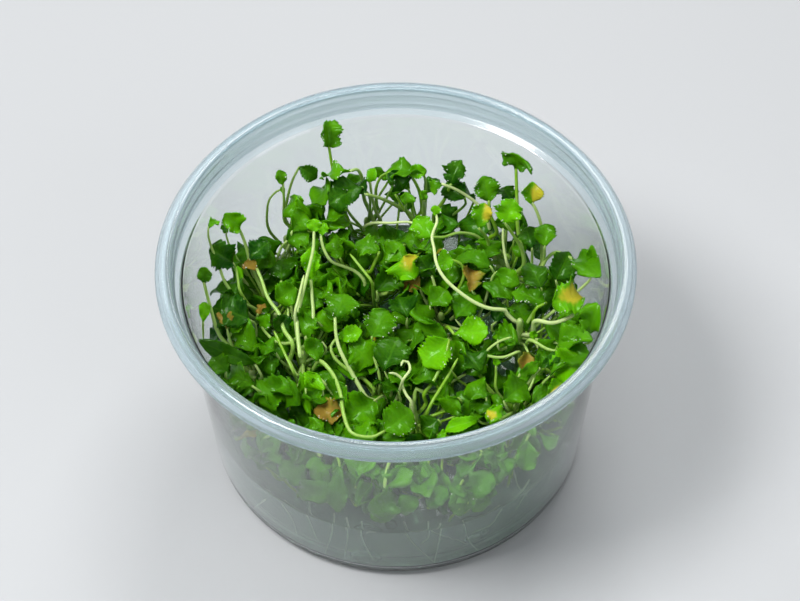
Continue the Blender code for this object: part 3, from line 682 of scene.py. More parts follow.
def inner_radius(height):
    """The cup's inner radius at a height."""
    cup = bpy.context.scene.cress_cup
    foot = cup.foot_radius - cup.wall
    top = cup.top_radius - cup.wall
    if height > cup.ledge:
        return top + 1.0 * MM
    return foot + (top - foot) * (height - WALL_FOOT) / (cup.ledge - WALL_FOOT)


def inside_cup(point, height, margin=0.9 * MM):
    """A place on the line of sight near a height that is inside the cup's wall and above the gel."""
    for step in range(SEARCH_STEPS):
        for way in (1, -1):
            tried = height + way * step * SEARCH_STEP
            place = sight(point, tried)
            if tried > GEL_SURFACE and place.xy.length < inner_radius(tried) - margin:
                return place
    raise ValueError(f"no place inside the cup on the sight line through {point}")


def blade_end(row):
    """The place of a blade's base or tip, given as a picture point and a height in millimetres."""
    return inside_cup(row[:2], row[2] * MM)


def at_front_wall(point, margin=1.4 * MM):
    """Where a picture point lies just inside the front of the gel."""
    # Heights in tenths of a millimetre, from the gel's surface down to its floor.
    for height in range(178, 30, -2):
        place = sight(point, height / 10 * MM)
        if place.xy.length < inner_radius(place.z) - margin:
            return place
    place.xy = place.xy.normalized() * (inner_radius(place.z) - margin)
    return place


def press_inside(mesh):
    """Presses what would reach through the cup's wall softly against its inside."""
    cup = bpy.context.scene.cress_cup
    points = points_of(mesh)
    heights = (WALL_FOOT, cup.ledge - 1 * MM, cup.ledge + 0.5 * MM)
    wall = [inner_radius(height) for height in heights]
    soft = 1.2 * MM
    free = np.interp(points[:, 2], heights, wall) - soft - 0.2 * MM
    out = np.hypot(points[:, 0], points[:, 1])
    over = np.maximum(out - free, 0)
    pressed = np.minimum(out, free) + soft * (1 - np.exp(-over / soft))
    points[:, :2] *= (pressed / np.maximum(out, 1e-9))[:, None]
    mesh.vertices.foreach_set("co", points.ravel())


def smooth_path(points, step):
    """Points about a step apart on a smooth curve through the given points."""
    ends = [2 * points[0] - points[1], *points, 2 * points[-1] - points[-2]]
    path = [points[0]]
    for before, start, end, after in zip(ends, ends[1:], ends[2:], ends[3:]):
        count = max(1, round((end - start).length / step))
        for index in range(1, count + 1):
            t = index / count
            path.append(
                start * (2 * t**3 - 3 * t**2 + 1)
                + (end - before) / 2 * (t**3 - 2 * t**2 + t)
                + end * (3 * t**2 - 2 * t**3)
                + (after - start) / 2 * (t**3 - t**2)
            )
    return path


def stem_places(stem):
    """The stem's middle line from its foot in the gel to its top."""
    foot = inside_cup(stem.foot, GEL_SURFACE, margin=2.2 * MM)
    top = inside_cup(stem.top, stem.height * MM, margin=2.0 * MM)
    low = Vector((foot.x, foot.y, GEL_SURFACE - 3.0 * MM))
    collar = Vector((foot.x, foot.y, GEL_SURFACE + 0.8 * MM))
    return low, collar, (collar * 2 + top) / 3, (collar + top * 2) / 3, top


def stem_ends(stem):
    """Where the stem leaves the gel, and its top."""
    _, collar, *_, top = stem_places(stem)
    return collar, top


def nearest_stem(place):
    """The name of the stem that leaves the gel nearest to a place."""
    return min(STEMS, key=lambda name: (stem_ends(STEMS[name])[0] - place).xy.length)


def share_along(place, start, end):
    """How far along the line between two places a third one lies, from 0 to 1."""
    along = end - start
    return max(0.0, min(1.0, (place - start).dot(along) / along.length_squared))


def from_line(place, start, end):
    """How far a place is from the line between two others."""
    return (place - start - (end - start) * share_along(place, start, end)).length


def random_vector(rng, *reaches):
    """A vector whose parts are drawn between the given pairs of numbers."""
    return Vector([rng.uniform(*reach) for reach in reaches])


# Blades.

# Half a blade's width from its base to its tip, as shares of its width: a rounded blade, a fan, a square end.
ROUND_EDGE = (
    (0, 0.05), (0.06, 0.17), (0.16, 0.35), (0.32, 0.48), (0.5, 0.5), (0.68, 0.45), (0.84, 0.32), (0.94, 0.17),
    (1, 0.02),
)
FAN_EDGE = (
    (0, 0.05), (0.1, 0.10), (0.25, 0.22), (0.45, 0.37), (0.65, 0.46), (0.85, 0.47), (0.95, 0.42), (1, 0.34),
)
SQUARE_EDGE = ((0, 0.06), (0.05, 0.22), (0.12, 0.33), (0.3, 0.38), (0.6, 0.42), (0.9, 0.47), (1, 0.45))
# How far a blade waves, how deep it cups and how its fold is rounded, as shares of its width.
WAVE, CUPPING, ROUND_OFF = 0.16, 0.06, 0.08
# How far a blade twists at most, in degrees.
TWIST = 65
# Rows and columns of a blade's faces.
MAIN_GRID, SMALL_GRID, LOW_GRID = (34, 12), (26, 8), (7, 4)


class WideEnd(NamedTuple):
    """A wide blade's outline, how much of its lobes it keeps, and how its end is hollowed and scalloped."""

    edge: tuple
    lobing: float
    hollow: float
    scallop: float


FAN = WideEnd(FAN_EDGE, 0.2, 0.2, 0.07)
SQUARE = WideEnd(SQUARE_EDGE, 0.2, 0.04, 0.14)
# The other blades are rounder.
WIDE_ENDED = dict.fromkeys(("leaf_02", "leaf_14", "leaf_17", "leaf_19", "leaf_22"), FAN)
WIDE_ENDED["leaf_01"] = SQUARE


def edge_at(edge, t):
    """An outline's half width at shares of its length."""
    return np.interp(t, *zip(*edge))


def tooth(t, count, start):
    """A saw's outline from -0.5 to 0.5: it swells slowly, then drops back within a sixth of its length."""
    share = (t * count + start) % 1.0
    return np.where(share < 0.84, share / 0.84, (1 - share) / 0.16) - 0.5


def blade_grid(grid, width, length, fold, arch, rng, wide_end=None):
    """A blade's points along its length, across and up, and its map, as arrays."""
    rows, columns = grid
    t = np.linspace(0, 1, rows + 1)[:, None]
    u = np.linspace(-1, 1, columns + 1)[None, :]
    if wide_end:
        half = edge_at(wide_end.edge, t) * width
        _, lobing, hollow, scallop = wide_end
    else:
        fan = rng.uniform(0.1, 0.9)
        half = (edge_at(ROUND_EDGE, t) * (1 - fan) + edge_at(FAN_EDGE, t) * fan) * width
        lobing, hollow, scallop = 1.0, FAN.hollow * fan, FAN.scallop * fan
    lobes, depth = rng.choice((2, 2, 3)), rng.choice((0.0, 0.1, 0.2, 0.35)) * lobing
    teeth, fine = rng.choice((7, 8, 9)), rng.uniform(0.13, 0.24)
    ease = np.clip(t / 0.2, 0, 1) * np.clip((1 - t) / 0.03, 0, 1)

    def toothed_edge():
        lobe = depth * tooth(t, lobes, rng.random() * 0.4)
        return half * (1 + ease * (lobe + fine * tooth(t, teeth, rng.random())))

    left, right = toothed_edge(), toothed_edge()
    x = np.where(u < 0, left, right) * u
    round_off = ROUND_OFF * width
    rise = math.tan(math.radians(fold)) * (np.sqrt(x**2 + round_off**2) - round_off)
    phase = rng.random()
    turns = rng.uniform(1.0, 2.0) * t + phase
    wave = WAVE * width * np.abs(u) ** 2 * np.sin(2 * math.pi * turns + np.sign(u) * 1.3)
    twist = np.sin(math.radians(rng.uniform(-TWIST, TWIST)) * (t - 0.3)) * x
    droop = rng.uniform(-0.05, 0.22) * width * t**2
    cup = CUPPING * width * np.sin(math.pi * t) * (1 - u**2)
    z = 4 * t * (1 - t) * arch * length + rise + wave + twist - droop - cup
    cut = hollow * u**2 * t**4 - scallop * t**8 * tooth(np.abs(u), 2.6, rng.random())
    y = (t - cut) * length
    return x + 0 * t, y, z, np.stack([u * 0.5 + 0.5 + 0 * t, t + 0 * u], -1)


def blade_faces(rows, columns):
    """The faces of two grids of points, one above the other, joined round their edge."""
    wide = columns + 1
    many = (rows + 1) * wide
    faces = []
    for row in range(rows):
        for column in range(columns):
            a = row * wide + column
            faces.append((a, a + 1, a + wide + 1, a + wide))
            faces.append((many + a, many + a + wide, many + a + wide + 1, many + a + 1))
    loop = list(range(columns)) + [row * wide + columns for row in range(rows)]
    loop += [rows * wide + column for column in range(columns, 0, -1)]
    loop += [row * wide for row in range(rows, 0, -1)]
    faces += [(many + a, many + b, b, a) for a, b in zip(loop, loop[1:] + loop[:1])]
    return faces


def add_blade(skin, ends, side, width, fold, arch, rng, grid, tone=0.5, fade=0.0, wide_end=None, spot=None):
    """Adds a closed blade to a skin and returns the points along the underside of its rib."""
    base, tip = ends
    along = (tip - base).normalized()
    side = (side - along * side.dot(along)).normalized()
    axes = [np.array(axis) for axis in (side, along, side.cross(along))]
    *parts, uvs = blade_grid(grid, width, (tip - base).length, fold, arch, rng, wide_end)
    points = sum(part[..., None] * axis for part, axis in zip(parts, axes)) + np.array(base)
    normals = np.cross(np.gradient(points, axis=1), np.gradient(points, axis=0))
    normals /= np.linalg.norm(normals, axis=2, keepdims=True) + 1e-12
    across = np.abs(uvs[..., :1] * 2 - 1)
    half = bpy.context.scene.cress_plant.blade_thickness / 2 * (1 - 0.55 * across**3)
    top, under = points + normals * half, points - normals * half
    u0, t0, spread = rng.uniform(-0.5, 0.5), rng.uniform(0.3, 0.9), rng.uniform(0.4, 0.6)
    u0, t0 = spot or (u0, t0)
    near = np.exp(-(((uvs[..., 0] * 2 - 1 - u0) * 0.7) ** 2 + (uvs[..., 1] - t0) ** 2) / spread**2)
    least = 0.45 if fade > 0.8 else 0.0
    fades = np.tile((fade * (least + (1 - least) * near)).ravel(), 2)
    towards_tip = rng.uniform(-0.05, 0.4) * (uvs[..., 1] - 0.5)
    towards_side = rng.uniform(-0.15, 0.3) * np.abs(uvs[..., 0] - 0.5)
    tones = np.tile((tone + (towards_tip + towards_side)).ravel(), 2)
    both = np.concatenate([top.reshape(-1, 3), under.reshape(-1, 3)])
    skin.add(both, blade_faces(*grid), 0, tones, fades, np.tile(uvs.reshape(-1, 2), (2, 1)))
    rows, columns = grid
    return [Vector(under[row, columns // 2]) for row in range(0, int(rows * 0.72), max(1, rows // 10))]


# Tubes.


def add_tubes(skin, paths, radii, sides=8, slot=0, tone=0.5):
    """Adds round tubes along paths to a skin, with one radius for each point."""
    points, edges, widths = [], [], []
    for path, radius in zip(paths, radii):
        first = len(points)
        points += [tuple(p) for p in path]
        widths += list(radius)
        edges += [(first + index, first + index + 1) for index in range(len(path) - 1)]
    lines = bpy.data.meshes.new("tubes")
    lines.from_pydata(points, edges, [])
    lines.attributes.new("radius", "FLOAT", "POINT").data.foreach_set("value", widths)
    made = plain_mesh("tubes", lines, TREES["tubes"], Sides=sides)
    skin.add(points_of(made), [tuple(face.vertices) for face in made.polygons], slot, tone)
    bpy.data.meshes.remove(made)


def add_strands(name, finish, strands, *nodes):
    """One object of tubes. Each strand holds paths, their radii, how many sides they have and their tone."""
    skin = Skin()
    for paths, radii, sides, tone in strands:
        add_tubes(skin, paths, radii, sides, tone=tone)
    add_object(name, skin.mesh(name, [FINISHES[finish]]), "stem", *nodes)


def taper(path, radius, loss):
    """Radii along a path that thins by a share of its radius."""
    return [radius * (1 - loss * index / len(path)) for index in range(len(path))]


def stalk_radii(path, radius, rib):
    """Wider at the foot, even along the stalk and thin along the rib, which holds the path's last points."""
    stalk = len(path) - rib
    widths = [radius * (1.25 - 0.45 * min(1.0, index / max(1, stalk - 1))) for index in range(stalk)]
    return widths + [radius * 0.6 * (1 - 0.85 * (index + 1) / max(1, rib)) for index in range(rib)]


# Leaves.

SMALL_STALK_RADIUS = 0.34 * MM
BARE_STALK_RADIUS = 0.42 * MM
STALK_END_RADIUS = 0.1 * MM


def side_of(base, tip, roll):
    """The way across a blade that faces up and towards the viewer, rolled about its length."""
    along = (tip - base).normalized()
    facing = (Vector((0, 0, 1)) + TO_VIEWER).normalized()
    return Matrix.Rotation(math.radians(roll), 3, along) @ along.cross(facing).normalized()


def solid_stalk_foot(name, stem):
    """The middle of the stalk's foot on the solid: the ring of its points that is nearest to the stem."""
    ends = stem_ends(stem)
    places = [vertex.co for vertex in frame["nodes"][name].data.vertices]
    nearest = min(places, key=lambda place: from_line(place, *ends))
    ring = [place for place in places if (place - nearest).length < 1.25 * MM]
    return sum(ring, Vector()) / len(ring)


def leaf_stalk(name, leaf, base):
    """The points along a main leaf's stalk, from inside its stem to the blade."""
    stem = STEMS[leaf.stem]
    collar, top = stem_ends(stem)
    run = [Vector((*point, 0)) for point in (stem.top, *leaf.stalk, leaf.base[:2])]
    lengths = [(b - a).length for a, b in zip(run, run[1:])]
    waypoints = []
    travelled = 0.0
    for point, step in zip(leaf.stalk, lengths):
        travelled += step
        waypoints.append(inside_cup(point, top.z + (base.z - top.z) * travelled / sum(lengths)))
    foot = solid_stalk_foot(name, stem)
    share = max(0.0, min(1.0, (foot.z - collar.z) / (top.z - collar.z)))
    middle = collar.lerp(top, share)
    away = Vector((foot.x - middle.x, foot.y - middle.y, 0)).normalized()
    root = middle + away * 0.5 * MM - Vector((0, 0, 0.4 * MM))
    return [root, foot, foot + (away * 1.5 + Vector((0, 0, 1.5))) * MM, *waypoints, base]


def add_leaves(name, skin, look, *nodes):
    """One object of blades and their stalks, pressed inside the cup."""
    mesh = skin.mesh(name, [FINISHES[look], FINISHES["stalk"]])
    press_inside(mesh)
    add_object(name, mesh, LOOKS[look].slot, *nodes)


def make_leaf(name):
    """One main leaf with its stalk."""
    leaf = LEAVES[name]
    rng = random.Random(name)
    look = LOOKS[leaf.look]
    base, tip = blade_end(leaf.base), blade_end(leaf.tip)
    skin = Skin()
    tone = look.tone + rng.uniform(-0.12, 0.12)
    plant = bpy.context.scene.cress_plant
    width = leaf.width * plant.spread * MM
    rib = add_blade(
        skin, (base, tip), side_of(base, tip, leaf.roll), width, leaf.fold, leaf.arch, rng, MAIN_GRID, tone,
        look.fade, WIDE_ENDED.get(name), SPOTS.get(name),
    )
    path = smooth_path(leaf_stalk(name, leaf, base), 1.0 * MM) + rib
    radii = stalk_radii(path, plant.stalk_radius * rng.uniform(0.9, 1.15), len(rib))
    shade = rng.uniform(0.0, 0.5) + (0.5 if name in PALE_STALKS else 0.0)
    add_tubes(skin, [path], [radii], slot=1, tone=shade)
    add_leaves(name + "_fine", skin, leaf.look, name)


def make_small_leaves():
    """The picture's smaller leaves, in one object for each stem that they grow from and for each look.

    Returns the upper parts of their long stalks.
    """
    groups = {}
    long_stalks = []
    spread = bpy.context.scene.cress_plant.spread
    for number, (look, width, base_row, tip_row, *stalk) in enumerate(SMALL_LEAVES):
        base, tip = blade_end(base_row), blade_end(tip_row)
        stem = nearest_stem(base)
        skin, paths, radii = groups.setdefault((stem, look), (Skin(), [], []))
        rng = random.Random(number)
        tone = LOOKS[look].tone + rng.uniform(-0.12, 0.12)
        side = side_of(base, tip, rng.uniform(-40, 40))
        fold = rng.uniform(5, 36)
        wide = width * spread * MM
        rib = add_blade(skin, (base, tip), side, wide, fold, 0.12, rng, SMALL_GRID, tone, LOOKS[look].fade)
        collar, top = stem_ends(STEMS[stem])
        start = collar.lerp(top, rng.uniform(0.15, 0.6))
        low = min(start.z + 1.5 * MM, base.z)
        shares = [(index + 1) / (len(stalk) + 1) for index in range(len(stalk))]
        climb = [low + (base.z - low) * share**0.7 for share in shares]
        path = smooth_path([start, *map(inside_cup, stalk, climb), base], 1.2 * MM)
        paths.append(path + rib)
        radii.append(stalk_radii(path + rib, SMALL_STALK_RADIUS, len(rib)))
        if len(stalk) > 1:
            long_stalks.append(path[len(path) // 3:])
    for (stem, look), (skin, paths, radii) in groups.items():
        add_tubes(skin, paths, radii, slot=1, tone=random.Random(stem + look).uniform(0.1, 0.6))
        add_leaves(f"small_{look.replace(' ', '_')}_{stem[-2:]}", skin, look)
    return long_stalks


def make_bare_stalks():
    """The picture's stalks that have no blade, in one object."""
    strands = []
    for points, (low, high), tone in BARE_STALKS:
        last = len(points) - 1
        places = [inside_cup(p, (low + (high - low) * index / last) * MM) for index, p in enumerate(points)]
        collar, _ = stem_ends(STEMS[nearest_stem(places[0])])
        path = smooth_path([collar, collar.lerp(places[0], 0.6) - Vector((0, 0, 2 * MM)), *places], 1.0 * MM)
        radii = taper(path, BARE_STALK_RADIUS, 0.35)[:-1] + [STALK_END_RADIUS]
        strands.append(([path], [radii], 8, tone))
    add_strands("bare_stalks", "stalk", strands)


def seed_mesh(name, points, layers):
    """Loose points that carry the named values."""
    mesh = bpy.data.meshes.new(name)
    mesh.from_pydata([tuple(point) for point in points], [], [])
    for label, kind, values in layers:
        layer = mesh.attributes.new(label, kind, "POINT")
        layer.data.foreach_set("vector" if kind == "FLOAT_VECTOR" else "value", np.asarray(values).ravel())
    return mesh


def scattered(seeds, shapes, material):
    """Copies of the collection's shapes on the seeds as one mesh. The shapes are removed afterwards."""
    mesh = plain_mesh(seeds.name, seeds, TREES["scatter"], Pieces=shapes, Material=material)
    for shape in list(shapes.objects):
        bpy.data.objects.remove(shape, do_unlink=True)
    bpy.data.collections.remove(shapes)
    return mesh


# Low leaves.

LOW_SHAPES = 12
LOW_LENGTH = 5.6 * MM
LOW_WIDTH = 4.8 * MM
LOW_STALK_RADIUS = 0.28 * MM
LOWEST_BLADE = 21 * MM
LEAST_TOP = 23 * MM
ROOM_UNDER_TOPS = 5 * MM
PLANTED_RADIUS = 41 * MM
FARTHEST_FROM_STEM = 16 * MM
YELLOWED_SHARE = 0.012
# How far a low leaf keeps from a long stalk in the picture, in picture points.
ROOM_BY_STALKS = 10.5


def canopy(y):
    """The height of the leaves' tops, which fall towards the viewer."""
    return (37.5 + 210 * y) * MM


def hides(place, stalks):
    """Whether a small leaf at a place covers a stalk in the picture.

    stalks holds rows of across, down and height.
    """
    across, down = picture(place)
    near = np.hypot(stalks[:, 0] - across, stalks[:, 1] - down) < ROOM_BY_STALKS
    return bool(np.any(near & (stalks[:, 2] < place.z)))


def blade_shapes():
    """A collection of small plain blades to copy."""
    shapes = bpy.data.collections.new("blade shapes")
    for number in range(LOW_SHAPES):
        rng = random.Random(BLADE_SHAPE_SEED + number)
        skin = Skin()
        fold, arch = rng.uniform(4, 36), rng.uniform(0.0, 0.25)
        ends = (Vector(), Vector((0, LOW_LENGTH, 0)))
        add_blade(skin, ends, Vector((1, 0, 0)), LOW_WIDTH, fold, arch, rng, LOW_GRID)
        name = f"blade_shape_{number:02d}"
        mesh = skin.mesh(name, [])
        for label in ("tone", "fade"):
            mesh.attributes.remove(mesh.attributes[label])
        shapes.objects.link(bpy.data.objects.new(name, mesh))
    return shapes


def stalks_in_view(long_stalks):
    """Where the stems and the long stalks show: a row of across, down and height for each point."""
    paths = [*long_stalks, *(smooth_path(stem_places(stem)[1:], 1.0 * MM) for stem in STEMS.values())]
    for name, leaf in LEAVES.items():
        paths.append(smooth_path(leaf_stalk(name, leaf, blade_end(leaf.base)), 1.0 * MM))
    return np.array([(*picture(place), place.z) for path in paths for place in path])


def low_stalk(base, along, size, rng):
    """The points of a low leaf's stalk, from a stem or from the gel under the leaf."""
    collar, top = stem_ends(STEMS[nearest_stem(base)])
    start = collar.lerp(top, rng.uniform(0, 0.5))
    if (start - base).xy.length > FARTHEST_FROM_STEM or rng.random() < 0.3:
        across, back = (base[axis] * 0.9 + rng.uniform(-4, 4) * MM for axis in (0, 1))
        start = Vector((across, back, GEL_SURFACE - 0.7 * MM))
    swing = start.lerp(base, 0.45) + Vector((rng.uniform(-2, 2), rng.uniform(-2, 2), -1.5)) * MM
    swing.z = max(swing.z, GEL_SURFACE + 0.3 * MM)
    return smooth_path([start, swing, base, base + along * 1.5 * MM * size], 2.0 * MM)


def make_low_leaves(long_stalks):
    """Small leaves that fill the space under the main ones, each on its own stalk."""
    rng = random.Random(LOW_LEAF_SEED)
    shapes = blade_shapes()
    stalks = stalks_in_view(long_stalks)
    points, turns, sizes, picks, tones, fades, paths = [], [], [], [], [], [], []
    while len(points) < bpy.context.scene.cress_plant.fillers:
        angle, out = rng.uniform(0, 2 * math.pi), PLANTED_RADIUS * math.sqrt(rng.random())
        base = Vector((out * math.cos(angle), out * math.sin(angle), 0))
        top = canopy(base.y) - ROOM_UNDER_TOPS
        base.z = LOWEST_BLADE + (max(LEAST_TOP, top) - LOWEST_BLADE) * rng.random() ** 0.6
        size = rng.uniform(0.75, 1.5)
        along = random_vector(rng, (-1, 1), (-1, 1), (-0.1, 0.7)).normalized()
        tip = base + along * LOW_LENGTH * size
        beyond_wall = max(base.xy.length, tip.xy.length) > inner_radius(base.z) - 1.2 * MM
        if beyond_wall or tip.z > top + 3 * MM or hides((base + tip) / 2, stalks):
            continue
        facing = Vector((rng.uniform(-1.4, 1.4), rng.uniform(-1.6, 0.8), 1))
        side = along.cross(facing).normalized()
        turns.append(tuple(Matrix((side, along, side.cross(along))).transposed().to_euler()))
        points.append(tuple(base))
        sizes.append(size)
        picks.append(rng.randrange(LOW_SHAPES))
        # Painted shade: a low leaf is darker the deeper it sits under the canopy, besides a random change of
        # tone.
        lit_by_height = (base.z - LOWEST_BLADE) / max(1 * MM, top - LOWEST_BLADE)
        tones.append(0.05 + 0.45 * lit_by_height + rng.uniform(-0.1, 0.25))
        fades.append(0.75 if rng.random() < YELLOWED_SHARE else 0.0)
        paths.append(low_stalk(base, along, size, rng))
    layers = (
        ("turn", "FLOAT_VECTOR", turns),
        ("size", "FLOAT", sizes),
        ("pick", "INT", picks),
        ("tone", "FLOAT", tones),
        ("fade", "FLOAT", fades),
    )
    leaves = scattered(seed_mesh("low_leaves", points, layers), shapes, FINISHES[GREEN])
    press_inside(leaves)
    add_object("low_leaves", leaves, "leaf_green")
    radii = [[LOW_STALK_RADIUS] * (len(path) - 1) + [STALK_END_RADIUS] for path in paths]
    add_strands("low_stalks", "stalk", [(paths, radii, 6, 0.12)])


# Turned shapes.


def turned_mesh(name, profile, sides, material):
    """Turns a closed outline of (radius, height) points about Z. Points on the axis stay single."""
    points, rings, faces = [], [], []
    for radius, height in profile:
        first = len(points)
        if radius < 1e-6:
            points.append((0, 0, height))
            rings.append([first] * sides)
            continue
        for side in range(sides):
            angle = 2 * math.pi * side / sides
            points.append((radius * math.cos(angle), radius * math.sin(angle), height))
        rings.append(list(range(first, first + sides)))
    for lower, upper in zip(rings, rings[1:]):
        for side in range(sides):
            after = (side + 1) % sides
            faces.append(tuple(dict.fromkeys((lower[side], lower[after], upper[after], upper[side]))))
    skin = Skin()
    skin.add(points, faces)
    mesh = skin.mesh(name, [material])
    mesh.set_sharp_from_angle(angle=math.radians(60))
    return mesh


def rounded(rows, steps=5):
    """An outline in metres with its corners rounded. Each row in millimetres: radius, height and rounding."""
    places = [Vector(row[:2]) * MM for row in rows]
    made = [tuple(places[0])]
    for before, corner, after, row in zip(places, places[1:], places[2:], rows[1:]):
        back, on = before - corner, after - corner
        cut = min(row[2] * MM, back.length * 0.45, on.length * 0.45)
        if cut <= 0:
            made.append(tuple(corner))
            continue
        start, end = corner + back.normalized() * cut, corner + on.normalized() * cut
        for step in range(steps + 1):
            t = step / steps
            made.append(tuple(start * (1 - t) ** 2 + corner * 2 * t * (1 - t) + end * t**2))
    return [*made, tuple(places[-1])]


def cup_outline(cup):
    """From the middle of the underside, up the outside, over the rolled rim and down the inside."""
    foot, top, wall = cup.foot_radius / MM, cup.top_radius / MM, cup.wall / MM
    rim, height, ledge = cup.rim_radius / MM, cup.height / MM, cup.ledge / MM
    rise, floor, inside_floor = 1.2, 2.2, 1.0
    skirt = height - 3.0
    return rounded((
        (0, rise, 0),
        (FOOT_RING - 1.0, rise, 0.4),
        (FOOT_RING, 0, 0.3),
        (foot - 1.8, 0, 0.8),
        (foot, 1.8, 1.0),
        (top, ledge - 0.8, 0.5),
        (top + 1.3, ledge + 0.2, 0.6),
        (rim - 2.5, height - 1.1, 0.5),
        (rim - 1.3, height - 1.1, 0.5),
        (rim - 0.75, skirt, 0.15),
        (rim - 0.05, skirt, 0.25),
        (rim, skirt + 1.2, 0.9),
        (rim - 1.5, height, 1.0),
        (rim - 3.2, height, 0.5),
        (rim - 3.35, height - 1.5, 0.2),
        (rim - 3.75, height - 1.9, 0.2),
        (rim - 3.4, height - 2.3, 0.2),
        (top + 1.2, height - 3.9, 0.2),
        (top + 0.8, height - 4.3, 0.2),
        (top + 1.05, height - 4.7, 0.2),
        (top + 1.0, ledge + 0.8, 0.5),
        (top - wall, ledge, 0.4),
        (foot - wall - 0.1, WALL_FOOT / MM, 1.2),
        (foot - wall - 1.6, inside_floor, 0.8),
        (FOOT_RING + 0.6, inside_floor, 0.3),
        (FOOT_RING - 0.6, floor, 0.3),
        (0, floor, 0),
    ))


def gel_outline(cup):
    """Bottom, side, the edge that climbs at the wall, and the level top."""
    surface, climb = cup.gel_top / MM, 0.6
    edge = inner_radius(cup.gel_top + climb * MM) / MM - 0.3
    floor, low_floor = 2.5, 1.3
    steps = (0.3, 0.7, 1.2, 2.0, 3.2)
    return rounded((
        (0, floor, 0),
        (FOOT_RING - 0.8, floor, 0.3),
        (FOOT_RING + 0.4, low_floor, 0.3),
        (cup.foot_radius / MM - 2.6, low_floor, 0.6),
        (inner_radius(3.2 * MM) / MM - 0.3, 3.2, 0.6),
        (edge, surface + climb, 0.05),
        *((edge - step, surface + climb * math.exp(-1.6 * step), 0) for step in steps),
        (FOOT_RING, surface, 0),
        (0, surface, 0),
    ))


# Roots and bubbles.


def root_path(start, rng, length):
    """A root that wanders down and outwards in the gel and turns along its floor."""
    step, floor = 1.2, 3.6 * MM
    place = start.copy()
    heading = Vector((rng.uniform(-0.7, 0.7), rng.uniform(-0.9, 0.5), -1.0)).normalized()
    path = [place.copy()]
    for _ in range(int(length / (step * MM))):
        heading += random_vector(rng, (-0.4, 0.4), (-0.4, 0.4), (-0.25, 0.2))
        heading.normalize()
        place = place + heading * step * MM
        if place.z < floor:
            place.z = floor
            heading.z = abs(heading.z) * 0.3
        limit = inner_radius(place.z) - 1.6 * MM
        if place.xy.length > limit:
            place.xy = place.xy.normalized() * limit
        path.append(place.copy())
    return smooth_path(path, 0.8 * MM)


def make_roots(rng):
    """Each stem's roots and those that show at the front, in one object."""
    paths, radii = [], []
    for stem in STEMS.values():
        foot = stem_places(stem)[0]
        for _ in range(rng.randint(4, 6)):
            start = foot + random_vector(rng, (-0.8, 0.8), (-0.8, 0.8), (0, 2)) * MM
            paths.append(root_path(start, rng, rng.uniform(10, 26) * MM))
            radii.append(taper(paths[-1], rng.uniform(0.16, 0.34) * MM, 0.75))
    for row in FRONT_ROOTS:
        paths.append(smooth_path([at_front_wall(point) for point in row], 0.8 * MM))
        radii.append(taper(paths[-1], FRONT_ROOT_RADIUS, 0.6))
    add_strands("roots", "root", [(paths, radii, 6, 0.9)])


def make_bubbles(rng):
    """Air bubbles in the gel: those that show at the front and some small ones all round."""
    shapes = bpy.data.collections.new("bubble shapes")
    for name, flatness in (("bubble_0_round", 1.0), ("bubble_1_flat", FLATNESS)):
        work = bmesh.new()
        bmesh.ops.create_icosphere(work, subdivisions=3, radius=1.0 * MM)
        bmesh.ops.scale(work, vec=(1, 1, flatness), verts=work.verts)
        mesh = bpy.data.meshes.new(name)
        work.to_mesh(mesh)
        work.free()
        shapes.objects.link(bpy.data.objects.new(name, mesh))
    points, sizes, picks = [], [], []
    for point, size, flat in FRONT_BUBBLES:
        place = at_front_wall(point, (size + 0.6) * MM)
        place.z = max(place.z, (2.8 + size * (FLATNESS if flat else 1.0)) * MM)
        points.append(place)
        sizes.append(size)
        picks.append(flat)
    for _ in range(BUBBLES_ALL_ROUND):
        angle, out = rng.uniform(0, 2 * math.pi), rng.uniform(0.35, 0.98)
        height = rng.uniform(4.5, 16.5) * MM
        size = rng.choice((0.2, 0.25, 0.3, 0.4, 0.6))
        reach = (inner_radius(height) - (1.2 + size) * MM) * out
        points.append((reach * math.cos(angle), reach * math.sin(angle), height))
        sizes.append(size)
        picks.append(0)
    seeds = seed_mesh("bubbles", points, (("size", "FLOAT", sizes), ("pick", "INT", picks)))
    add_object("bubbles", scattered(seeds, shapes, FINISHES["bubble"]), "clear_gel")


# Finishes.


class Clear(NamedTuple):
    """A see-through finish. uneven is how far its roughness varies, and grain how many spots a metre has."""

    colour: tuple
    roughness: float
    ior: float
    uneven: float
    transmission: float
    grain: float


CLEAR = {
    "cup plastic": Clear((0.92, 0.97, 0.98), 0.01, 1.49, 0.03, 0.99, 90.0),
    "rim plastic": Clear((0.73, 0.86, 0.91), 0.08, 1.49, 0.08, 0.78, 90.0),
    "clear gel": Clear((0.70, 0.94, 0.72), 0.0, 1.34, 0.01, 0.80, 60.0),
    # Droplets are part glass and part pale diffuse finish, which paints their glints as pale dots.
    "water": Clear((0.96, 1.0, 0.88), 0.0, 1.33, 0.01, 0.35, 300.0),
    "bubble": Clear((1.0, 1.0, 1.0), 0.0, 0.75, 0.01, 1.0, 300.0),
}
GEL_TINT = (0.42, 0.56, 0.46)
GEL_DENSITY = 18.0
ROOT_COLOURS = ((0.60, 0.64, 0.42), (0.88, 0.90, 0.76))
WITHERED_SHADE = 1.25


def plain_finish(name, colour, roughness, **sockets):
    """A Principled finish. Returns the material, its tree and its shader."""
    material = bpy.data.materials.new(name)
    material.use_nodes = True
    shader = material.node_tree.nodes["Principled BSDF"]
    shader.inputs["Base Color"].default_value = solid_colour(colour)
    shader.inputs["Roughness"].default_value = roughness
    for key, value in sockets.items():
        shader.inputs[key.replace("_", " ").title().replace("Ior", "IOR")].default_value = value
    return material, material.node_tree, shader


